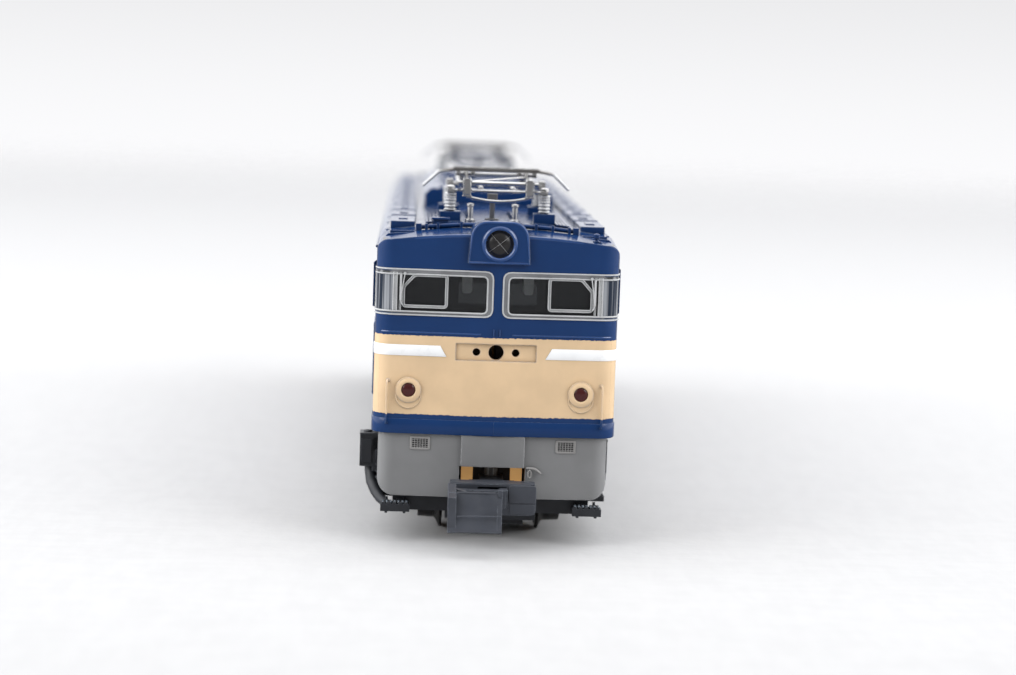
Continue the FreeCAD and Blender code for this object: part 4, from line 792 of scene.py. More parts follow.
def corner_panes():
    """Thick curved glass at each corner of the cab, outboard of the mullions."""
    low, high = WINDOW_BOTTOM + 0.1, WINDOW_TOP - 0.2
    section = [(low, -0.05), (low, -0.005), (high, -0.005), (high, -0.05)]
    reaches = evenly(MULLION_REACH + 0.18, WINDOW_END - 0.12, 24)
    return Form().skin([[on_hull(reach, z, out) for z, out in section] for reach in reaches]).both_sides()


# ---------------------------------------------------------------- cab front
def trim_stripes():
    """White bars with a slanted inner end, wrapped round the cab's corners."""
    low, high = STRIPE_Z
    end = SIDE_REACH + 0.35
    rows = []
    for share in evenly(0.0, 1.0, 40):
        bottom, top = [start + (end - start) * share for start in STRIPE_STARTS]
        section = [(bottom, low, -0.05), (bottom, low, 0.03), (bottom, low + 0.04, 0.055),
                   (top, high - 0.04, 0.055), (top, high, 0.03), (top, high, -0.05)]
        rows.append([on_hull(*spot) for spot in section])
    return Form().skin(rows).both_sides()


def hull_strip(start, end, z0, z1, proud):
    """A slightly rounded band on the cab's surface between two reaches."""
    path = spaced([(start, 0.0), (end, 0.0)], 0.3, closed=False)
    section = [(z0, -0.06), (z0, proud * 0.5), (z0 + proud, proud),
               (z1 - proud, proud), (z1, proud * 0.4), (z1, -0.06)]
    return Form().skin([[on_hull(reach, z, out) for z, out in section] for reach, _ in path])


def sill_band():
    """The painted ledge round the bottom of the cab, and on along the sides to the rear cab's ledge."""
    middle_of_side = SIDE_REACH - CORNER_Y
    return hull_strip(0.0, middle_of_side, BODY_BOTTOM + 0.02, BAND_TOP - 0.36, 0.07).both_sides()


def drip_rails():
    """A thin ledge across the cab front, between the number plate recess and the windows."""
    return hull_strip(1.2, 8.9, 15.46, 15.58, 0.05).both_sides()


def brow_bead():
    """Rounded edge where the cab front turns into the roof, thinning out at both ends."""
    path, radii = [], []
    for share in evenly(-1.0, 1.0, 40):
        x = 7.9 * share
        _, y, _ = on_front(x, 0.0, -0.13)
        path.append((x, y, roof_height(x, y) - 0.13))
        radii.append(0.16 * math.sqrt(max(0.02, 1 - abs(share) ** 6)))
    return Form().tube(path, radii, sides=12)


def number_ticks():
    """Two small upright ribs between the drip rails."""
    form = Form()
    for x in (-0.24, 0.24):
        path = [(x - 0.045, 15.42), (x + 0.045, 15.42), (x + 0.045, 15.94), (x - 0.045, 15.94)]
        outline = [on_front(u, v, -0.05) for u, v in path]
        form.prism(outline, (0, -0.15, 0))
    return form


def handrails():
    """Upright grab rails near the cab's corners, with their feet turned in."""
    low, high, stand = 8.5, 11.78, 0.34
    x = 8.19
    path = [on_front(x, low, -0.05), on_front(x, low, stand * 0.6), on_front(x, low + 0.1, stand)]
    path += [on_front(x, z, stand) for z in (9.4, 10.4, high - 0.12)]
    path += [on_front(x, high, stand * 0.6), on_front(x, high, -0.05)]
    form = Form().tube(path, 0.085, sides=10)
    for z in (low, high):
        foot = on_front(x, z, -0.02)
        form.lathe([(0.0, 0.0), (0.17, 0.0), (0.17, 0.05), (0.12, 0.08), (0.0, 0.08)], foot, FORWARD, 12)
    return form.both_sides()


def housing_edge():
    """Rounded edge bead round the front of the headlight housing."""
    half, top, bend = 2.28, 24.12, 1.15
    path = [(-half, 21.06), (-half + 0.15, top - bend)]
    path += [(-half + 0.17 + bend * (1 - c), top - bend + bend * s) for c, s in arc(math.pi / 2, 6)[1:]]
    path += [(-x, z) for x, z in reversed(path)]
    y = -HALF_LENGTH - HOUSING_PROUD + 0.05
    return Form().tube([(x, y, z) for x, z in path], 0.1, sides=10, closed=True)


def tail_plate_edges():
    """Rounded edge of the shallow disc behind each tail lamp."""
    profile = [(0.86, -0.05), (0.86, 0.10), (0.89, 0.13), (0.94, 0.12), (0.99, 0.04), (1.0, -0.05)]
    return Form().lathe(profile, (TAIL_X, TAIL_FACE, TAIL_Z - 0.48), FORWARD, 44).both_sides()


def headlight_rim():
    """Bevelled ring round the headlight glass."""
    centre = (0, -HALF_LENGTH - HOUSING_PROUD, HEADLIGHT_Z)
    profile = [
        (1.06, -0.25), (1.06, 0.02), (1.12, 0.10), (1.20, 0.13), (1.28, 0.10), (1.37, 0.02), (1.40, -0.06),
        (1.40, -0.25),
    ]
    return Form().lathe(profile, centre, FORWARD, 48)


def headlight_dome():
    """Shallow domed glass inside the rim."""
    centre = (0, -HALF_LENGTH + 0.02, HEADLIGHT_Z)
    radius, rise = 1.08, 0.34
    dome = [(max(r, TIP), rise * (1 - (r / radius) ** 2)) for r in evenly(radius, 0.0, 8)]
    return Form().lathe([(TIP, -0.02), (radius, -0.02)] + dome, centre, FORWARD, 40)


def headlight_cross():
    """Fine crossed wires of the lamp's guard, just proud of the glass and bowed like it."""
    form = Form()
    reach, bow = 0.98, 0.30
    y = -HALF_LENGTH - 0.34
    for tilt in (38, -48):
        x, z = reach * math.cos(math.radians(tilt)), reach * math.sin(math.radians(tilt))
        wire = [(x * share, y + bow * share ** 2, HEADLIGHT_Z + z * share) for share in evenly(-1.0, 1.0, 4)]
        form.tube(wire, 0.014, sides=6)
    return form


def tail_lamp_rims():
    """Rounded collar round each tail lamp, on the boss that the shell carries."""
    profile = [
        (0.545, -0.02), (0.545, 0.22), (0.58, 0.27), (0.64, 0.29), (0.72, 0.27), (0.84, 0.245), (0.93, 0.19),
        (0.985, 0.10), (1.0, 0.0),
    ]
    return Form().lathe(profile, (TAIL_X, TAIL_FACE, TAIL_Z), FORWARD, 40).both_sides()


def lens_domes():
    """Small domed red glasses in the tail lamps."""
    profile = [(TIP, -0.15), (0.53, -0.15), (0.53, -0.12), (0.45, -0.06), (0.25, -0.01), (TIP, 0.0)]
    return Form().lathe(profile, (TAIL_X, TAIL_FACE - 0.27, TAIL_Z), FORWARD, 28).both_sides()


def build_cab_fronts():
    at_both_ends("window_ridges", window_ridges(), TRIM_PLASTIC)
    at_both_ends("window_channels", window_channels(), CHANNEL_PLASTIC)
    at_both_ends("window_mullions", mullions(), TRIM_PLASTIC)
    at_both_ends("defroster_frames", defroster_frames(), TRIM_PLASTIC)
    at_both_ends("corner_panes", corner_panes(), CORNER_GLASS)
    at_both_ends("wipers", wipers(), TRIM_PLASTIC)
    at_both_ends("deflector_fins", deflector_fins(), BLUE_PAINT, bevel=0.04)
    at_both_ends("light_shield", light_shield(), VENT_DARK, bevel=0.08)
    at_both_ends("cab_posts", cab_posts(), POST_PLASTIC, bevel=0.06)
    at_both_ends("trim_stripes", trim_stripes(), WHITE_PAINT)
    at_both_ends("sill_band", sill_band(), BLUE_PAINT)
    at_both_ends("drip_rails", drip_rails(), HIGHLIT_BEAD_PAINT)
    at_both_ends("number_ticks", number_ticks(), HIGHLIT_BEAD_PAINT, bevel=0.02)
    at_both_ends("brow_bead", brow_bead(), HIGHLIT_BEAD_PAINT)
    at_both_ends("handrails", handrails(), SHELL_PAINT)
    at_both_ends("housing_edge", housing_edge(), HIGHLIT_BEAD_PAINT)
    at_both_ends("headlight_rim", headlight_rim(), HIGHLIT_BEAD_PAINT)
    at_both_ends("headlight_dome", headlight_dome(), HEADLIGHT_GLASS)
    at_both_ends("headlight_cross", headlight_cross(), POST_PLASTIC)
    at_both_ends("tail_lamp_rims", tail_lamp_rims(), CREAM_PAINT)
    at_both_ends("tail_plate_edges", tail_plate_edges(), CREAM_PAINT)
    at_both_ends("tail_lamp_domes", lens_domes(), TAIL_GLASS)


# ---------------------------------------------------------------- skirt
VENT_X, VENT_Z = 5.6, 6.97
VENT_HALF_WIDTH, VENT_HALF_HEIGHT = 0.79, 0.52
VENT_COLUMNS, VENT_ROWS = 6, 5
SKIRT_FACE = SKIRT_LOW.y + 0.13    # the middle of the skirt, behind its proud panel
SKIRT_SLOPE = 0.45 / SKIRT_HIGH.x


def on_skirt(x, z, out=0.0):
    return x, SKIRT_FACE + SKIRT_SLOPE * abs(x) - out, z


def on_vent(u, v, out):
    return on_skirt(VENT_X + u, VENT_Z + v, out)


def skirt_vents():
    """(lattice, dark sheet of painted shade behind its holes) of the two ventilators in the skirt."""
    lattice, shade_backing = Form(), Form()
    half_w, half_h = VENT_HALF_WIDTH - 0.09, VENT_HALF_HEIGHT - 0.09
    rim = [(-0.09, -0.03), (-0.09, 0.05), (-0.05, 0.08), (0.05, 0.08), (0.09, 0.05), (0.09, -0.03)]
    lattice.sweep(rounded_path(rectangle(-half_w, half_w, -half_h, half_h), 0.06, 2), rim, on_vent)
    inner_w, inner_h = VENT_HALF_WIDTH - 0.17, VENT_HALF_HEIGHT - 0.12
    bar = 0.024
    bars = [(u - bar, u + bar, -inner_h, inner_h) for u in evenly(-inner_w, inner_w, VENT_COLUMNS)]
    bars += [(-inner_w, inner_w, v - bar, v + bar) for v in evenly(-inner_h, inner_h, VENT_ROWS)]
    for sides in bars:
        lattice.prism([on_vent(u, v, -0.02) for u, v in rectangle(*sides)], (0, -0.07, 0))
    back = rectangle(-inner_w - 0.05, inner_w + 0.05, -inner_h, inner_h)
    # A dark sheet of painted shade behind the vent's holes.
    shade_backing.prism([on_vent(u, v, -0.03) for u, v in back], (0, -0.04, 0))
    return lattice.both_sides(), shade_backing.both_sides()


def pipe_cock():
    """Brake pipe cock to the right of the coupler opening: a bent pipe and its hanging ring."""
    form = Form()
    pipe = [on_skirt(x, z, out) for x, z, out in (
        (2.64, 5.26, -0.05), (2.68, 5.28, 0.14), (2.85, 5.29, 0.24), (3.1, 5.28, 0.28), (3.32, 5.22, 0.3),
        (3.54, 5.06, 0.3), (3.74, 4.88, 0.26))]
    form.tube(pipe, [0.08, 0.1, 0.1, 0.11, 0.12, 0.1, 0.09], sides=10)
    ring = [on_skirt(2.88 + 0.13 * c, 4.84 + 0.29 * s, 0.28) for c, s in circle(16)]
    form.tube(ring, 0.07, sides=8, closed=True)
    return form


def panel_studs():
    """Two round moulding marks on the skirt's middle panel."""
    form = Form()
    profile = [(0.0, -0.02), (0.1, -0.02), (0.1, 0.02), (0.07, 0.04), (0.0, 0.045)]
    for x in (-1.92, 1.92):
        form.lathe(profile, on_skirt(x, 5.88, 0.13), FORWARD, 14)
    return form


def opening_ribs():
    """Two thin upright ribs of the chassis nose, seen deep inside the coupler opening."""
    form = Form()
    for x in (-0.25, 0.15):
        form.block(x - 0.03, x + 0.03, SKIRT_FACE + 1.35, SKIRT_FACE + 1.5, 4.5, 5.25)
    return form


def build_skirts():
    lattice, shade_backing = skirt_vents()
    at_both_ends("skirt_vents", lattice, VENT_PLASTIC)
    at_both_ends("skirt_vent_shade_backs", shade_backing, VENT_DARK)
    at_both_ends("pipe_cock", pipe_cock(), VENT_PLASTIC)
    at_both_ends("panel_studs", panel_studs(), SKIRT_PLASTIC)
    at_both_ends("opening_ribs", opening_ribs(), POST_PLASTIC)


# ---------------------------------------------------------------- couplers
POCKET_FACE = POCKET_LOW.y
HOOK_FRONT = HOOK_LOW.y
HOOK_RIGHT = 0.65                  # right-hand edge of the front coupler's hook plate
BLADE_LEFT = -2.7                  # left-hand end of the lip and crease on its blade


def carrier_details():
    """Cover over the upper part of the carrier, with a seam below it and rounded ends."""
    half = POCKET_HIGH.x
    seam, top = POCKET_LOW.z + 0.95, POCKET_HIGH.z
    form = Form()
    outline = rounded_path(rectangle(1.25, half - 0.02, seam, top - 0.04), 0.22)
    form.prism([(x, POCKET_FACE - 0.07, z) for x, z in outline], (0, 0.2, 0))
    outline = rounded_path(rectangle(1.3, half - 0.1, POCKET_LOW.z + 0.06, seam - 0.08), 0.12)
    form.prism([(x, POCKET_FACE - 0.04, z) for x, z in outline], (0, 0.2, 0))
    form.block(-half + 0.1, half - 0.1, POCKET_FACE + 0.1, POCKET_FACE + 1.5, top - 0.05, top + 0.07)
    return form


def hook_details():
    """Upturned lip, crease and corner lug of the hook plate, and the gusset behind its blade."""
    form = Form()
    lip = [(BLADE_LEFT, 0.95, 4.15), (-1.4, 0.92, 4.18), (0.2, 0.95, 4.16)]
    crease = [(BLADE_LEFT, 0.04, 2.52), (-1.4, 0.04, 2.56), (HOOK_RIGHT - 0.06, 0.04, 2.58)]
    gusset = [(-2.9, 1.6, 4.35), (-2.05, 1.1, 4.25), (-2.2, 1.1, 3.4), (-2.9, 1.6, 2.6)]
    form.tube([(x, HOOK_FRONT + back, z) for x, back, z in lip], 0.1, sides=8)
    form.block(HOOK_RIGHT - 0.3, HOOK_RIGHT + 0.02, HOOK_FRONT + 0.75, HOOK_FRONT + 1.4, 3.9, 4.42)
    form.block(0.5, 1.1, HOOK_FRONT + 2.75, HOOK_FRONT + 3.7, 2.8, 4.12)
    form.tube([(x, HOOK_FRONT + back, z) for x, back, z in crease], 0.06, sides=8)
    form.prism([(x, HOOK_FRONT + back, z) for x, back, z in gusset], (0, 0.5, 0))
    return form


def build_couplers():
    at_both_ends("carrier_details", carrier_details(), SLATE_PLASTIC, "{}_coupler_carrier", bevel=0.05)
    at_both_ends("hook_details", hook_details(), SLATE_PLASTIC, "{}_coupler_head", bevel=0.05)


# ---------------------------------------------------------------- body sides
SIDE_FRAME_SECTION = [
    (-0.16, -0.05), (-0.16, 0.04), (-0.12, 0.07), (-0.04, 0.07), (0.0, 0.04), (0.08, 0.0), (0.08, -0.05),
]


def side_window_frames():
    """Thin bright frames round every side window."""
    openings = []
    for end in (1, -1):
        openings.append((*sorted(end * y for y in CAB_WINDOW_Y), *CAB_WINDOW_Z, 0.0))
        y0, y1 = sorted(end * y for y in DOOR_Y)
        openings.append((y0 + DOOR_WINDOW_MARGIN, y1 - DOOR_WINDOW_MARGIN, *DOOR_WINDOW_Z, -0.15))
    for centre in BAY_CENTRES:
        openings.append((centre - UPPER_WINDOW_HALF, centre + UPPER_WINDOW_HALF, *UPPER_WINDOW_Z, 0.0))
    form = Form()
    for y0, y1, z0, z1, sunk in openings:
        path = rounded_path(rectangle(y0, y1, z0, z1), 0.3)
        form.sweep(path, SIDE_FRAME_SECTION, lambda u, v, out, sunk=sunk: on_side(u, v, out + sunk))
    return form.both_sides()


def louvre_grilles():
    """Air intake filters: slanted slats between upright dividers, in the shell's shallow recesses."""
    form = Form()
    slats, dividers = 13, 4
    floor, proud = HALF_WIDTH - LOUVRE_DEPTH, HALF_WIDTH + 0.015
    z0, z1 = LOUVRE_Z
    pitch = (z1 - z0) / slats
    section = [(-0.02, pitch * 0.62), (0.19, 0.0), (0.24, 0.03), (0.02, pitch * 0.82)]
    for centre in BAY_CENTRES:
        y0, y1 = centre - LOUVRE_HALF, centre + LOUVRE_HALF
        for slat in range(slats):
            foot = z0 + pitch * (slat + 0.12)
            form.prism([(floor + out, y0, foot + rise) for out, rise in section], (0, y1 - y0, 0))
        for y in evenly(y0, y1, dividers):
            form.block(floor - 0.02, proud, y - 0.08, y + 0.08, z0, z1)
        for z in (z0, z1):
            form.block(floor - 0.02, proud, y0 - 0.08, y1 + 0.08, z - 0.08, z + 0.08)
    return form.both_sides()


def door_hardware():
    """(frames and hinges, handrails, handles) of the front cab's two crew doors."""
    trim, rails, handles = Form(), Form(), Form()
    y0, y1 = DOOR_Y
    outline = rounded_path(rectangle(y0 + 0.06, y1 - 0.06, DOOR_Z[0] + 0.06, DOOR_Z[1] - 0.06), 0.25)
    section = [(-0.07, -0.03), (-0.07, 0.03), (0.05, 0.03), (0.07, 0.0), (0.07, -0.03)]
    trim.sweep(outline, section, lambda u, v, out: on_side(u, v, out - 0.15))
    for z in (10.4, 14.2, 18.4):
        trim.tube([on_side(y0 + 0.02, z - 0.28, -0.07), on_side(y0 + 0.02, z + 0.28, -0.07)], 0.1, sides=8)
    stand = 0.12
    for y in (y0 - 0.35, y1 + 0.35):
        path = [on_side(y, 9.7, -0.05), on_side(y, 9.7, stand * 0.6), on_side(y, 9.82, stand)]
        path += [on_side(y, z, stand) for z in (11.0, 13.0, 15.38)]
        path += [on_side(y, 15.5, stand * 0.6), on_side(y, 15.5, -0.05)]
        rails.tube(path, 0.08, sides=8)
    y = y1 - 0.5
    knob = [(0.0, 0.0), (0.2, 0.0), (0.2, 0.06), (0.14, 0.1), (0.0, 0.1)]
    handles.lathe(knob, on_side(y, 14.0, -0.15), OUTWARD, 14)
    lever = [on_side(u, z, out) for u, z, out in (
        (y, 14.0, -0.07), (y, 14.0, 0.08), (y - 0.12, 13.97, 0.12), (y - 0.6, 13.9, 0.12))]
    handles.tube(lever, 0.06, sides=8)
    return trim.both_sides(), rails.both_sides(), handles.both_sides()


def side_seams():
    """Narrow cover strips over the joints between the side panels."""
    form = Form()
    half_bay = (BAY_CENTRES[1] - BAY_CENTRES[0]) / 2
    section = [(-0.03, -0.2), (0.03, -0.17), (0.03, 0.17), (-0.03, 0.2)]
    for y in evenly(BAY_CENTRES[0] - half_bay, BAY_CENTRES[-1] + half_bay, len(BAY_CENTRES)):
        foot = [(HALF_WIDTH + out, y + across, SIDE_CREAM_TOP + 0.35) for out, across in section]
        form.prism(foot, (0, 0, 20.9 - SIDE_CREAM_TOP))
    return form.both_sides()


def rain_gutters():
    """Half-round gutter along each roof edge between the cabs."""
    section = [(HALF_WIDTH + 0.16 * s, ROOF_EDGE - 0.35 - 0.12 * c) for c, s in arc(math.pi, 6)]
    return Form().prism([(x, -47.0, z) for x, z in section], (0, 94.0, 0)).both_sides()


def build_body_sides():
    piece("side_window_frames", side_window_frames(), TRIM_PLASTIC)
    piece("louvre_grilles", louvre_grilles(), BLUE_PAINT)
    piece("side_seams", side_seams(), BLUE_PAINT)
    piece("rain_gutters", rain_gutters(), BLUE_PAINT)
    trim, rails, handles = door_hardware()
    at_both_ends("door_trim", trim, BLUE_PAINT)
    at_both_ends("door_handrails", rails, BLUE_PAINT)
    at_both_ends("door_handles", handles, CHROME)


# ---------------------------------------------------------------- roof
CONDUIT_Y = -47.0
PIPE_X = (-2.15, 1.40)             # the two pantograph rests, and the pipe behind each


def roof_conduit():
    """Cable duct laid across the roof behind the headlight, with its cleats and end boxes."""
    start, end = -6.2, 6.0
    path = [(x, CONDUIT_Y, roof_height(x, CONDUIT_Y) + 0.2) for x in evenly(start, end, 24)]
    form = Form().tube(path, 0.17, sides=10)
    cleats = [(x, 0.11, 0.28, 0.46) for x in (-5.6, -4.7, -2.9, 2.9, 4.2, 5.5)]
    boxes = [(x, 0.22, 0.3, 0.5) for x in (start, end)]
    for x, half_w, half_l, height in cleats + boxes:
        z = roof_height(x, CONDUIT_Y)
        form.block(x - half_w, x + half_w, CONDUIT_Y - half_l, CONDUIT_Y + half_l, z - 0.1, z + height)
    return form


def junction_box():
    """Lidded box on the left of the roof front."""
    form = Form()
    z = roof_height(4.5, CONDUIT_Y)
    form.block(-5.1, -3.9, CONDUIT_Y + 0.5, CONDUIT_Y + 1.5, z - 0.1, z + 0.75)
    form.block(-5.2, -3.8, CONDUIT_Y + 0.4, CONDUIT_Y + 1.6, z + 0.62, z + 0.8)
    for x in (-5.25, -3.75):
        form.block(x - 0.12, x + 0.12, CONDUIT_Y + 0.85, CONDUIT_Y + 1.15, z - 0.1, z + 0.3)
    return form


def whistle():
    """Air whistle under its bonnet, beside the roof edge."""
    x, y = 7.45, CONDUIT_Y - 2.6
    z = roof_height(x, y) - 0.1
    profile = [(0.0, 0.0), (0.26, 0.0), (0.26, 0.18), (0.14, 0.22), (0.14, 0.34), (0.24, 0.40), (0.24, 0.68),
               (0.12, 0.76), (0.0, 0.78)]
    form = Form().lathe(profile, (x, y, z), UP, 18)
    feed = [(x, y, z + 0.1), (x + 0.35, y - 0.2, z + 0.1), (x + 0.5, y - 0.4, z - 0.15)]
    return form.tube(feed, 0.07, sides=8)


def roof_posts():
    """(bright, dark) posts ahead of the pantograph: two that rest its frame, and the catch between them."""
    rests, catch = Form(), Form()
    y = -42.5
    profile = [(TIP, -0.1), (0.42, -0.1), (0.42, 0.12), (0.3, 0.2), (0.22, 0.24), (0.22, 1.15), (0.28, 1.2),
               (0.28, 1.38), (0.2, 1.44), (TIP, 1.46)]
    for x in PIPE_X:
        rests.lathe(profile, (x, y, roof_height(x)), UP, 20)
    x = -0.42
    z = roof_height(x)
    catch.block(x - 0.2, x + 0.2, y - 0.15, y + 0.15, z - 0.1, z + 1.9)
    catch.block(x - 0.4, x + 0.4, y - 0.25, y + 0.25, z + 1.5, z + 2.2)
    catch.block(x - 0.55, x + 0.55, y - 0.45, y + 0.45, z - 0.1, z + 0.22)
    return rests, catch


def roof_pipes():
    """Two thin air pipes along the roof to the pantograph, on saddles."""
    form = Form()
    start, end = -41.8, -31.0
    for x in PIPE_X:
        z = roof_height(x) + 0.18
        path = [(x, y, z) for y in (start, -38.0, -34.0, end)] + [(x, end + 0.3, z - 0.4)]
        form.tube(path, 0.11, sides=10)
        for y in (-40.2, -35.8, -32.0):
            form.block(x - 0.24, x + 0.24, y - 0.1, y + 0.1, z - 0.3, z + 0.04)
    return form


def duct_steps():
    """Low front step of each roof-edge duct."""
    front, back = -48.3, -DUCT_END + 0.2
    section = [(6.3, 22.0), (8.72, 22.0), (8.72, 22.72), (8.5, 22.88), (6.3, 23.02)]
    form = Form().prism([(x, front, z) for x, z in section], (0, back - front, 0))
    return form.block(6.5, 8.4, front + 0.5, back, 22.8, 23.1).both_sides()


def duct_covers():
    """Lid seams and lifting tabs along the roof-edge ducts."""
    form = Form()
    seams = evenly(-DUCT_END, DUCT_END, 11)
    for y in seams[1:-1]:
        form.block(6.46, 8.44, y - 0.12, y + 0.12, 22.95, DUCT_TOP + 0.05)
        form.block(6.25, 8.8, y - 0.12, y + 0.12, 21.95, 23.04)
    for start, end in zip(seams, seams[1:]):
        y = (start + end) / 2
        form.block(7.1, 7.8, y - 1.1, y + 1.1, DUCT_TOP - 0.02, DUCT_TOP + 0.07)
    return form.both_sides()


def monitor_louvres():
    """Slats along both flanks of the ventilator cover, in six bays."""
    form = Form()
    section = [(-0.03, 0.16), (0.12, 0.0), (0.15, 0.04), (-0.03, 0.22)]
    edges = evenly(-MONITOR_END, MONITOR_END, 6)
    for start, end in zip(edges, edges[1:]):
        for slat in range(4):
            foot = 23.45 + 0.28 * slat
            outline = [(MONITOR_HALF_WIDTH + out, start + 0.5, foot + rise) for out, rise in section]
            form.prism(outline, (0, end - start - 1.0, 0))
    return form.both_sides()


def monitor_hatches():
    """Rims and lifting eyes of the three hatches on the ventilator cover, and the bands between them."""
    form = Form()
    section = [(-0.14, -0.03), (-0.14, 0.1), (-0.08, 0.14), (0.08, 0.14), (0.14, 0.1), (0.14, -0.03)]
    edges = evenly(-MONITOR_END, MONITOR_END, 3)
    for start, end in zip(edges, edges[1:]):
        y0, y1 = start + 0.8, end - 0.8
        path = rounded_path(rectangle(-4.3, 4.3, y0, y1), 0.5)
        form.sweep(path, section, lambda u, v, out: (u, v, MONITOR_TOP + out))
        for x, y in [(x, y) for x in (-3.2, 3.2) for y in (y0 + 1.2, y1 - 1.2)]:
            eye = [(x + 0.32 * c, y, MONITOR_TOP - 0.02 + 0.3 * s) for c, s in arc(math.pi, 8)]
            form.tube(eye, 0.06, sides=8)
    for y in edges[1:-1]:
        form.block(-MONITOR_HALF_WIDTH - 0.04, MONITOR_HALF_WIDTH + 0.04, y - 0.12, y + 0.12, 23.2, 24.58)
    return form


def roof_walkways():
    """Slatted running boards beside the pantographs."""
    form = Form()
    y0, y1 = -44.6, -20.4
    for x in (4.72, 5.0, 5.28, 5.56):
        z = roof_height(x)
        form.block(x - 0.1, x + 0.1, y0, y1, z + 0.12, z + 0.22)
    z = roof_height(5.14)
    for y in evenly(y0 + 0.3, y1 - 0.3, 8):
        form.block(4.6, 5.68, y - 0.09, y + 0.09, z - 0.12, z + 0.15)
    return form.both_sides()


def build_roof():
    at_both_ends("roof_conduit", roof_conduit(), BLUE_PAINT, bevel=0.03)
    at_both_ends("junction_box", junction_box(), BLUE_PAINT, bevel=0.04)
    at_both_ends("whistle", whistle(), BLUE_PAINT)
    rests, catch = roof_posts()
    at_both_ends("pantograph_rests", rests, CHROME)
    at_both_ends("pantograph_catch", catch, DIECAST, bevel=0.05)
    at_both_ends("roof_pipes", roof_pipes(), BLUE_PAINT)
    at_both_ends("duct_steps", duct_steps(), BLUE_PAINT, bevel=0.05)
    at_both_ends("roof_walkways", roof_walkways(), BLUE_PAINT, bevel=0.02)
    piece("duct_covers", duct_covers(), BLUE_PAINT, bevel=0.03)
    piece("monitor_details", monitor_louvres().join(monitor_hatches()), BLUE_PAINT)


# ---------------------------------------------------------------- pantographs
SHAFT_Z = 26.3
ELBOW_Y = 6.985                    # elbow of the folded arms, from the pantograph's middle
ELBOW_Z = 26.719
INSULATOR_Z = (24.4, 25.9)
INSULATOR_PLACES = [(3.75 * side, 5.3 * end) for side, end in CORNERS]


def insulator_sheds():
    """Rounded ribs over each insulator."""
    form = Form()
    foot, top = INSULATOR_Z
    sheds = 6
    pitch = (top - foot) / sheds
    shed_profile = [(0.34, 0.02), (0.47, pitch * 0.3), (0.50, pitch * 0.5), (0.46, pitch * 0.7),
                    (0.34, pitch * 0.95)]
    profile = [(TIP, 0.0)]
    for shed in range(sheds):
        profile += [(r, pitch * shed + rise) for r, rise in shed_profile]
    profile.append((TIP, top - foot))
    for x, y in INSULATOR_PLACES:
        form.lathe(profile, (x, y, foot), UP, 24)
    return form


def insulator_caps():
    """Six-sided metal nut on top of each insulator."""
    form = Form()
    profile = [(TIP, 0.0), (0.30, 0.0), (0.34, 0.03), (0.34, 0.26), (0.26, 0.34), (TIP, 0.36)]
    for x, y in INSULATOR_PLACES:
        form.lathe(profile, (x, y, PANTO_RAIL_TOP - 0.05), UP, 6)
    return form


def raising_springs():
    """Two long springs between the shafts, with their hooks."""
    form = Form()
    half, hook_end, z = 4.2, 5.25, SHAFT_Z - 0.15
    for x in (-1.3, 1.3):
        form.coil((x, -half, z), (0, 2 * half, 0), 0.17, 0.045, turns=26, steps=8, sides=5)
        for end in (-1, 1):
            middle = end * (half + hook_end) / 2
            form.tube([(x, end * half, z), (x, middle, z), (x, end * hook_end, z - 0.1)], 0.06, sides=6)
    return form


def elbow_brackets(sign):
    """Open brackets either side of the elbow and a bowed bar between them; sign -1 is the front elbow."""
    form = Form()
    y = sign * ELBOW_Y
    near = y + sign * 0.36
    cheek = [(-0.42, -1.02), (0.30, -1.02), (0.38, 0.3), (0.1, 0.42), (-0.3, 0.42), (-0.42, 0.2)]
    for x in (2.16, 2.72):
        form.prism([(x, y + along, ELBOW_Z + rise) for along, rise in cheek], (0.07, 0, 0))
    form.block(2.1, 2.85, y - 0.42, y + 0.30, ELBOW_Z - 1.06, ELBOW_Z - 0.96)
    form.block(2.22, 2.68, near, y + sign * 0.44, ELBOW_Z - 0.9, ELBOW_Z + 0.36)
    for low, high in ((-0.6, -0.42), (0.1, 0.24)):
        form.block(2.1, 2.85, near, y + sign * 0.43, ELBOW_Z + low, ELBOW_Z + high)
    form = form.both_sides()
    bar = []
    for share in evenly(-1.0, 1.0, 14):
        bar.append((2.5 * share, y + sign * 0.2, ELBOW_Z - 1.06 - 0.34 * (1 - share * share)))
    return form.tube(bar, 0.14, sides=12)


def pan_head_details():
    """Spring boxes under the pan head, and the rivets of its two wearing strips."""
    form = Form()
    for x in (2.95, 3.25):
        form.block(x - 0.04, x + 0.04, -0.75, 0.75, 27.0, 27.24)
    form = form.both_sides()
    rivet = [(TIP, 0.0), (0.09, 0.0), (0.07, 0.04), (TIP, 0.05)]
    for y in (-0.95, 0.95):
        for x in (-1.2, -2.4, 1.2, 2.4):
            form.lathe(rivet, (x, y, 27.70), UP, 8)
    return form


def build_pantographs():
    for end, centre in zip(ENDS, (-PANTO_CENTRE, PANTO_CENTRE)):
        name = f"{end}_pantograph"
        piece(f"{name}_insulator_ribs", insulator_sheds().moved(y=centre), INSULATOR_WHITE)
        piece(f"{name}_insulator_caps", insulator_caps().moved(y=centre), CHROME)
        piece(f"{name}_springs", raising_springs().moved(y=centre), CHROME)
        for side, sign in (("front", -1), ("rear", 1)):
            brackets = elbow_brackets(sign).moved(y=centre)
            piece(f"{name}_{side}_elbow_brackets", brackets, CHROME, f"{name}_lower_{side}", bevel=0.02)
        fittings = pan_head_details().moved(y=centre)
        piece(f"{name}_head_fittings", fittings, CHROME, f"{name}_collector", bevel=0.02)


# ---------------------------------------------------------------- bogies
SANDBOX_TOP = 6.8
WIDE_SANDBOX = -FRONT_FRAME_LOW.x  # how far out the wide sandbox reaches, at the outer left corner
NARROW_SANDBOX = 9.2               # and the other three
SANDBOX_Y = (10.2, 12.0)


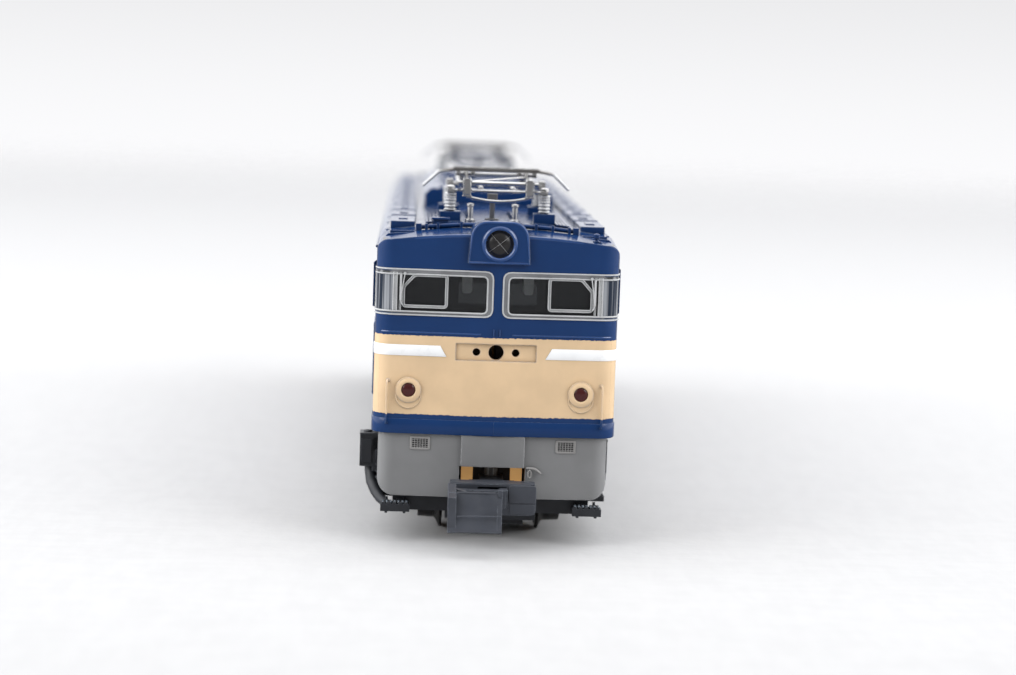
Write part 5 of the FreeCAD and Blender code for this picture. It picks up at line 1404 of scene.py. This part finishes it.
def axle_box_covers():
    """Round covers on the four axle boxes, each with six bolts."""
    form = Form()
    cover = [(TIP, 0.0), (0.98, 0.0), (0.98, 0.10), (0.88, 0.16), (0.5, 0.18), (0.45, 0.26), (TIP, 0.28)]
    bolt = [(TIP, 0.0), (0.11, 0.0), (0.11, 0.09), (TIP, 0.11)]
    for y in (-AXLE_Y, AXLE_Y):
        form.lathe(cover, (BOGIE_SIDE - 0.02, y, AXLE_Z), OUTWARD, 28)
        for c, s in circle(6):
            form.lathe(bolt, (BOGIE_SIDE + 0.1, y + 0.72 * c, AXLE_Z + 0.72 * s), OUTWARD, 6)
    return form.both_sides()


def bogie_springs():
    """Wound wire over the moulded spring cores, beside each axle box and under the bolster."""
    form = Form()
    for end in (-1, 1):
        for offset in (-2.45, 2.45):
            form.coil((8.35, end * AXLE_Y + offset, 2.45), (0, 0, 2.6), 0.62, 0.11, turns=5)
    for offset in (-1.6, 0, 1.6):
        form.coil((8.4, offset, 2.68), (0, 0, 1.95), 0.60, 0.11, turns=4)
    return form.both_sides()


def frame_rivets():
    """A row of rivets along each of the bogie's side plates."""
    form = Form()
    rivet = [(TIP, 0.0), (0.14, 0.0), (0.12, 0.06), (TIP, 0.09)]
    for y in (-12.1, -11.2, -7.0, -6.1, -4.6, 4.6, 6.1, 7.0, 11.2, 12.1):
        form.lathe(rivet, (7.69, y, 6.45), OUTWARD, 8)
    return form.both_sides()


def sandbox_pipe():
    """Bent pipe from the wide sandbox down towards the foot step."""
    path = [(-9.45, -11.1, 4.5), (-9.45, -11.2, 3.9), (-9.3, -11.7, 3.1), (-8.95, -12.5, 2.45),
            (-8.55, -13.4, 2.05), (-8.1, -14.2, 1.8), (-7.7, -14.8, 1.6)]
    form = Form().tube(path, [0.46, 0.46, 0.46, 0.44, 0.40, 0.34, 0.26], sides=12)
    collar = [(TIP, 0.0), (0.42, 0.0), (0.42, 0.16), (0.3, 0.2), (TIP, 0.2)]
    return form.lathe(collar, (-9.45, -11.1, 4.14), UP, 16)


def sandbox_lids():
    """Lid and filler knob of each sandbox, a strap over its front, and the wide one's filler neck."""
    form = Form()
    knob = [(TIP, 0.0), (0.36, 0.0), (0.36, 0.1), (0.28, 0.16), (TIP, 0.18)]
    for side, end in CORNERS:
        reach = WIDE_SANDBOX if (side, end) == (-1, -1) else NARROW_SANDBOX
        lid = sorted((side * 7.65, side * (reach + 0.03)))
        form.block(*lid, *sorted(end * y for y in SANDBOX_Y), SANDBOX_TOP, SANDBOX_TOP + 0.16)
        form.lathe(knob, (side * (reach - 0.6), end * sum(SANDBOX_Y) / 2, SANDBOX_TOP + 0.14), UP, 16)
        strap = sorted((side * (reach - 0.95), side * (reach - 0.1)))
        form.block(*strap, *sorted((end * 11.85, end * 12.0)), SANDBOX_TOP - 2.2, SANDBOX_TOP - 0.3)
    return form.block(-9.3, -7.8, -11.9, -10.3, SANDBOX_TOP - 2.9, SANDBOX_TOP - 0.1)


def step_brackets():
    """Angled straps that carry the foot steps ahead of the outer beam."""
    form = Form()
    strap = [(-14.9, 2.5), (-14.9, 1.9), (-16.0, 1.55), (-17.0, 1.55), (-17.0, 1.7), (-16.2, 1.72)]
    for x in (6.55, 7.95):
        form.prism([(x, y, z) for y, z in strap], (0.22, 0, 0))
    return form.block(6.6, 8.1, -15.3, -14.85, 1.9, 2.1).both_sides()


def step_treads():
    """Two rows of raised studs on each foot step, coloured light as a painted highlight."""
    form = Form()
    stud = [(TIP, 0.0), (0.11, 0.0), (0.08, 0.1), (TIP, 0.12)]
    for y in (-16.72, -16.27):
        for x in evenly(6.5, 8.3, 6):
            form.lathe(stud, (x, y, 2.33), UP, 10)
    return form.both_sides()


def brake_rigging():
    """A brake block beside each wheel's tread, front and back, on its hanger."""
    form = Form()
    inner, outer = 4.0, 4.5
    angles = [math.radians(a) for a in (-24, -8, 8, 24)]
    section = [(inner * math.cos(a), inner * math.sin(a)) for a in angles]
    section += [(outer * math.cos(a), outer * math.sin(a)) for a in reversed(angles)]
    for end, way in CORNERS:
        shoe = [(4.75, end * AXLE_Y + way * along, AXLE_Z + rise) for along, rise in section]
        form.prism(shoe, (0.8, 0, 0))
        y = end * AXLE_Y + way * 4.62
        form.tube([(5.1, y, AXLE_Z - 1.2), (5.15, y, AXLE_Z + 0.5), (5.2, y, AXLE_Z + 2.0)], 0.13, sides=8)
    return form.both_sides()


def build_bogies():
    shared = {"axle_box_covers": axle_box_covers(), "springs": bogie_springs(), "rivets": frame_rivets()}
    for part, form in shared.items():
        at_both_ends(f"bogie_{part}", form.moved(y=-BOGIE_CENTRE), BOGIE_PLASTIC, "{}_bogie")
        piece(f"middle_bogie_{part}", form, BOGIE_PLASTIC, "middle_bogie")
    driven = {
        "sandbox_pipe": (sandbox_pipe(), BOGIE_PLASTIC, 0.0),
        "sandbox_lids": (sandbox_lids(), BOGIE_PLASTIC, 0.04),
        "step_brackets": (step_brackets(), BOGIE_PLASTIC, 0.04),
        "brake_rigging": (brake_rigging(), BOGIE_PLASTIC, 0.04),
        "step_treads": (step_treads(), HIGHLIT_TREAD_PLASTIC, 0.0),
    }
    for part, (form, material, bevel) in driven.items():
        at_both_ends(f"bogie_{part}", form.moved(y=-BOGIE_CENTRE), material, "{}_bogie", bevel=bevel)
    piece("middle_bogie_brake_rigging", brake_rigging(), BOGIE_PLASTIC, "middle_bogie", bevel=0.04)


# ---------------------------------------------------------------- floor, light and camera
FLOOR_Z = -0.70                    # the wheel flanges stand on it
FLOOR_FIRST_RING = 20.0
FLOOR_GROWTH = 1.28
FLOOR_RINGS = 18
CAMERA_PLACE = Vector((-6.29, -232.98, 35.0)) * MM
CAMERA_YAW, CAMERA_PITCH, CAMERA_ROLL = (math.radians(a) for a in (2.25, -6.15, 1.99))
CAMERA_LENS = 85.04
FOCUS_STOP = 30.0
VIEW_DISTANCE = 0.26               # metres; beyond this the camera stops down, so that nothing is blurred


def floor_sheet():
    """Woven pale sheet with painted shade: a little darker ahead of the model and in mirrors, clear towards
    the horizon.
    """
    s = Shader("floor_sheet")
    weave = s.math("ADD", s.stretched_noise((0.9, 0.25, 0.5)), s.stretched_noise((0.25, 0.9, 0.5)))
    woven = s.mix(s.span(weave, 0.7, 1.3), (0.505, 0.507, 0.512), (0.53, 0.532, 0.536))
    shaded = s.mix(s.span(weave, 0.7, 1.3), (0.405, 0.407, 0.411), (0.425, 0.427, 0.43))
    # Painted shade: darker ahead of the model.
    seen = s.mix(s.span(s.axes()[1], -150.0, -20.0), shaded, woven)
    # Painted shade in reflections: darker where glossy surfaces mirror the floor.
    mirrored = s.node("LightPath").outputs["Is Glossy Ray"]
    s.set(Base_Color=s.mix(s.math("MULTIPLY", mirrored, 0.75), seen, (0.05, 0.05, 0.055)), Roughness=0.9)
    s.set(Normal=s.bump(s.noise(1.3), 0.03))
    distance = s.node("VectorMath", {0: s.place}, operation="LENGTH").outputs["Value"]
    fade = s.span(distance, 350.0, 900.0)
    clear = s.node("BsdfTransparent").outputs[0]
    mixed = s.node("MixShader", {0: fade, 1: s.surface.outputs[0], 2: clear})
    s.links.new(mixed.outputs[0], s.nodes["Material Output"].inputs["Surface"])
    return s.material


def build_floor():
    """A round sheet of rings that widen outwards."""
    steps = 64
    rows = []
    for ring in range(FLOOR_RINGS):
        radius = FLOOR_FIRST_RING * FLOOR_GROWTH ** ring
        rows.append([(radius * c, radius * s, FLOOR_Z) for c, s in circle(steps)])
    form = Form().skin(rows, caps=False)
    form.add(rows[0], [tuple(range(steps))])
    mesh = bpy.data.meshes.new("floor")
    mesh.from_pydata([p * MM for p in form.points], [], form.faces)
    mesh.materials.append(floor_sheet())
    obj = bpy.data.objects.new("floor", mesh)
    bpy.context.scene.collection.objects.link(obj)


def build_world():
    """A white studio that is darker on the camera's side, and plain pale where the camera sees it."""
    world = bpy.data.worlds.new("studio")
    bpy.context.scene.world = world
    world.use_nodes = True
    nodes, links = world.node_tree.nodes, world.node_tree.links
    background = nodes["Background"]
    place = nodes.new("ShaderNodeTexCoord").outputs["Generated"]
    axes = nodes.new("ShaderNodeSeparateXYZ")
    links.new(place, axes.inputs[0])

    def span(value, low, high, to_low, to_high):
        made = nodes.new("ShaderNodeMapRange")
        made.interpolation_type = "SMOOTHSTEP"
        for name, number in (("From Min", low), ("From Max", high), ("To Min", to_low), ("To Max", to_high)):
            made.inputs[name].default_value = number
        links.new(value, made.inputs["Value"])
        return made.outputs[0]

    ahead = span(axes.outputs[1], -0.9, 0.0, 0.18, 1.9)
    behind = span(axes.outputs[1], 0.15, 0.9, 1.0, 0.62)
    product = nodes.new("ShaderNodeMath")
    product.operation = "MULTIPLY"
    links.new(ahead, product.inputs[0])
    links.new(behind, product.inputs[1])
    lit = product.outputs[0]
    seen = span(axes.outputs[2], -0.04, 0.08, 0.985, 0.80)
    camera_ray = nodes.new("ShaderNodeLightPath").outputs["Is Camera Ray"]
    choose = nodes.new("ShaderNodeMix")
    choose.data_type = "FLOAT"
    links.new(camera_ray, choose.inputs[0])
    links.new(lit, choose.inputs[2])
    links.new(seen, choose.inputs[3])
    links.new(choose.outputs[0], background.inputs["Strength"])
    background.inputs["Color"].default_value = (0.985, 0.985, 1.0, 1.0)


def add_softbox(name, place, target, width, height, power, mirrored=True):
    """A rectangular lamp aimed at a target, all in metres; only a mirrored one shows in glossy paint."""
    lamp = bpy.data.lights.new(name, "AREA")
    lamp.shape = "RECTANGLE"
    lamp.size, lamp.size_y = width, height
    lamp.energy = power
    obj = bpy.data.objects.new(name, lamp)
    obj.location = place
    obj.rotation_euler = (Vector(target) - Vector(place)).to_track_quat("-Z", "Y").to_euler()
    obj.visible_camera = False
    obj.visible_glossy = mirrored
    bpy.context.scene.collection.objects.link(obj)


def build_lights():
    middle = (0.0, 0.0, 0.01)
    add_softbox("overhead_softbox", (0.05, 0.10, 0.55), middle, 0.6, 0.6, 0.5)
    add_softbox("left_softbox", (-0.45, -0.32, 0.30), (0, -0.05, 0.01), 0.35, 0.35, 1.3)
    add_softbox("right_softbox", (0.45, -0.35, 0.33), (0, -0.05, 0.01), 0.35, 0.35, 1.35)
    add_softbox("left_side_softbox", (-0.45, 0.02, 0.12), (0, -0.03, 0.01), 0.3, 0.3, 1.3, mirrored=False)
    add_softbox("right_side_softbox", (0.45, 0.02, 0.12), (0, -0.03, 0.01), 0.3, 0.3, 1.0, mirrored=False)


def build_camera():
    yaw, pitch, roll = CAMERA_YAW, CAMERA_PITCH, CAMERA_ROLL
    ahead = Vector((math.sin(yaw) * math.cos(pitch), math.cos(yaw) * math.cos(pitch), math.sin(pitch)))
    right = Vector((math.cos(yaw), -math.sin(yaw), 0.0))
    up = right.cross(ahead)
    tilted_right = right * math.cos(roll) + up * math.sin(roll)
    tilted_up = up * math.cos(roll) - right * math.sin(roll)
    data = bpy.data.cameras.new("camera")
    data.lens = CAMERA_LENS
    data.clip_start, data.clip_end = 0.01, 10.0
    camera = bpy.data.objects.new("camera", data)
    turn = Matrix((tilted_right, tilted_up, -ahead)).transposed()
    camera.matrix_world = Matrix.Translation(CAMERA_PLACE) @ turn.to_4x4()
    bpy.context.scene.collection.objects.link(camera)
    bpy.context.scene.camera = camera
    focus = bpy.data.objects.new("focus_point", None)
    focus.location = Vector((0, -HALF_LENGTH, 14.0)) * MM
    bpy.context.scene.collection.objects.link(focus)
    data.dof.use_dof = True
    data.dof.focus_object = focus
    set_stop_by_distance(data, camera, focus)


def set_stop_by_distance(data, camera, focus):
    """Close up, the far end blurs as in a close-up lens; from further away everything is sharp."""
    driver = data.dof.driver_add("aperture_fstop").driver
    distance = driver.variables.new()
    distance.name = "distance"
    distance.type = "LOC_DIFF"
    distance.targets[0].id = camera
    distance.targets[1].id = focus
    driver.type = "SCRIPTED"
    driver.expression = f"{FOCUS_STOP} + 4000 * max(0, distance - {VIEW_DISTANCE})"


dress_cad_nodes()
build_cab_fronts()
build_skirts()
build_couplers()
build_body_sides()
build_roof()
build_pantographs()
build_bogies()
build_floor()
build_world()
build_lights()
build_camera()
bpy.context.scene.view_settings.view_transform = "Standard"
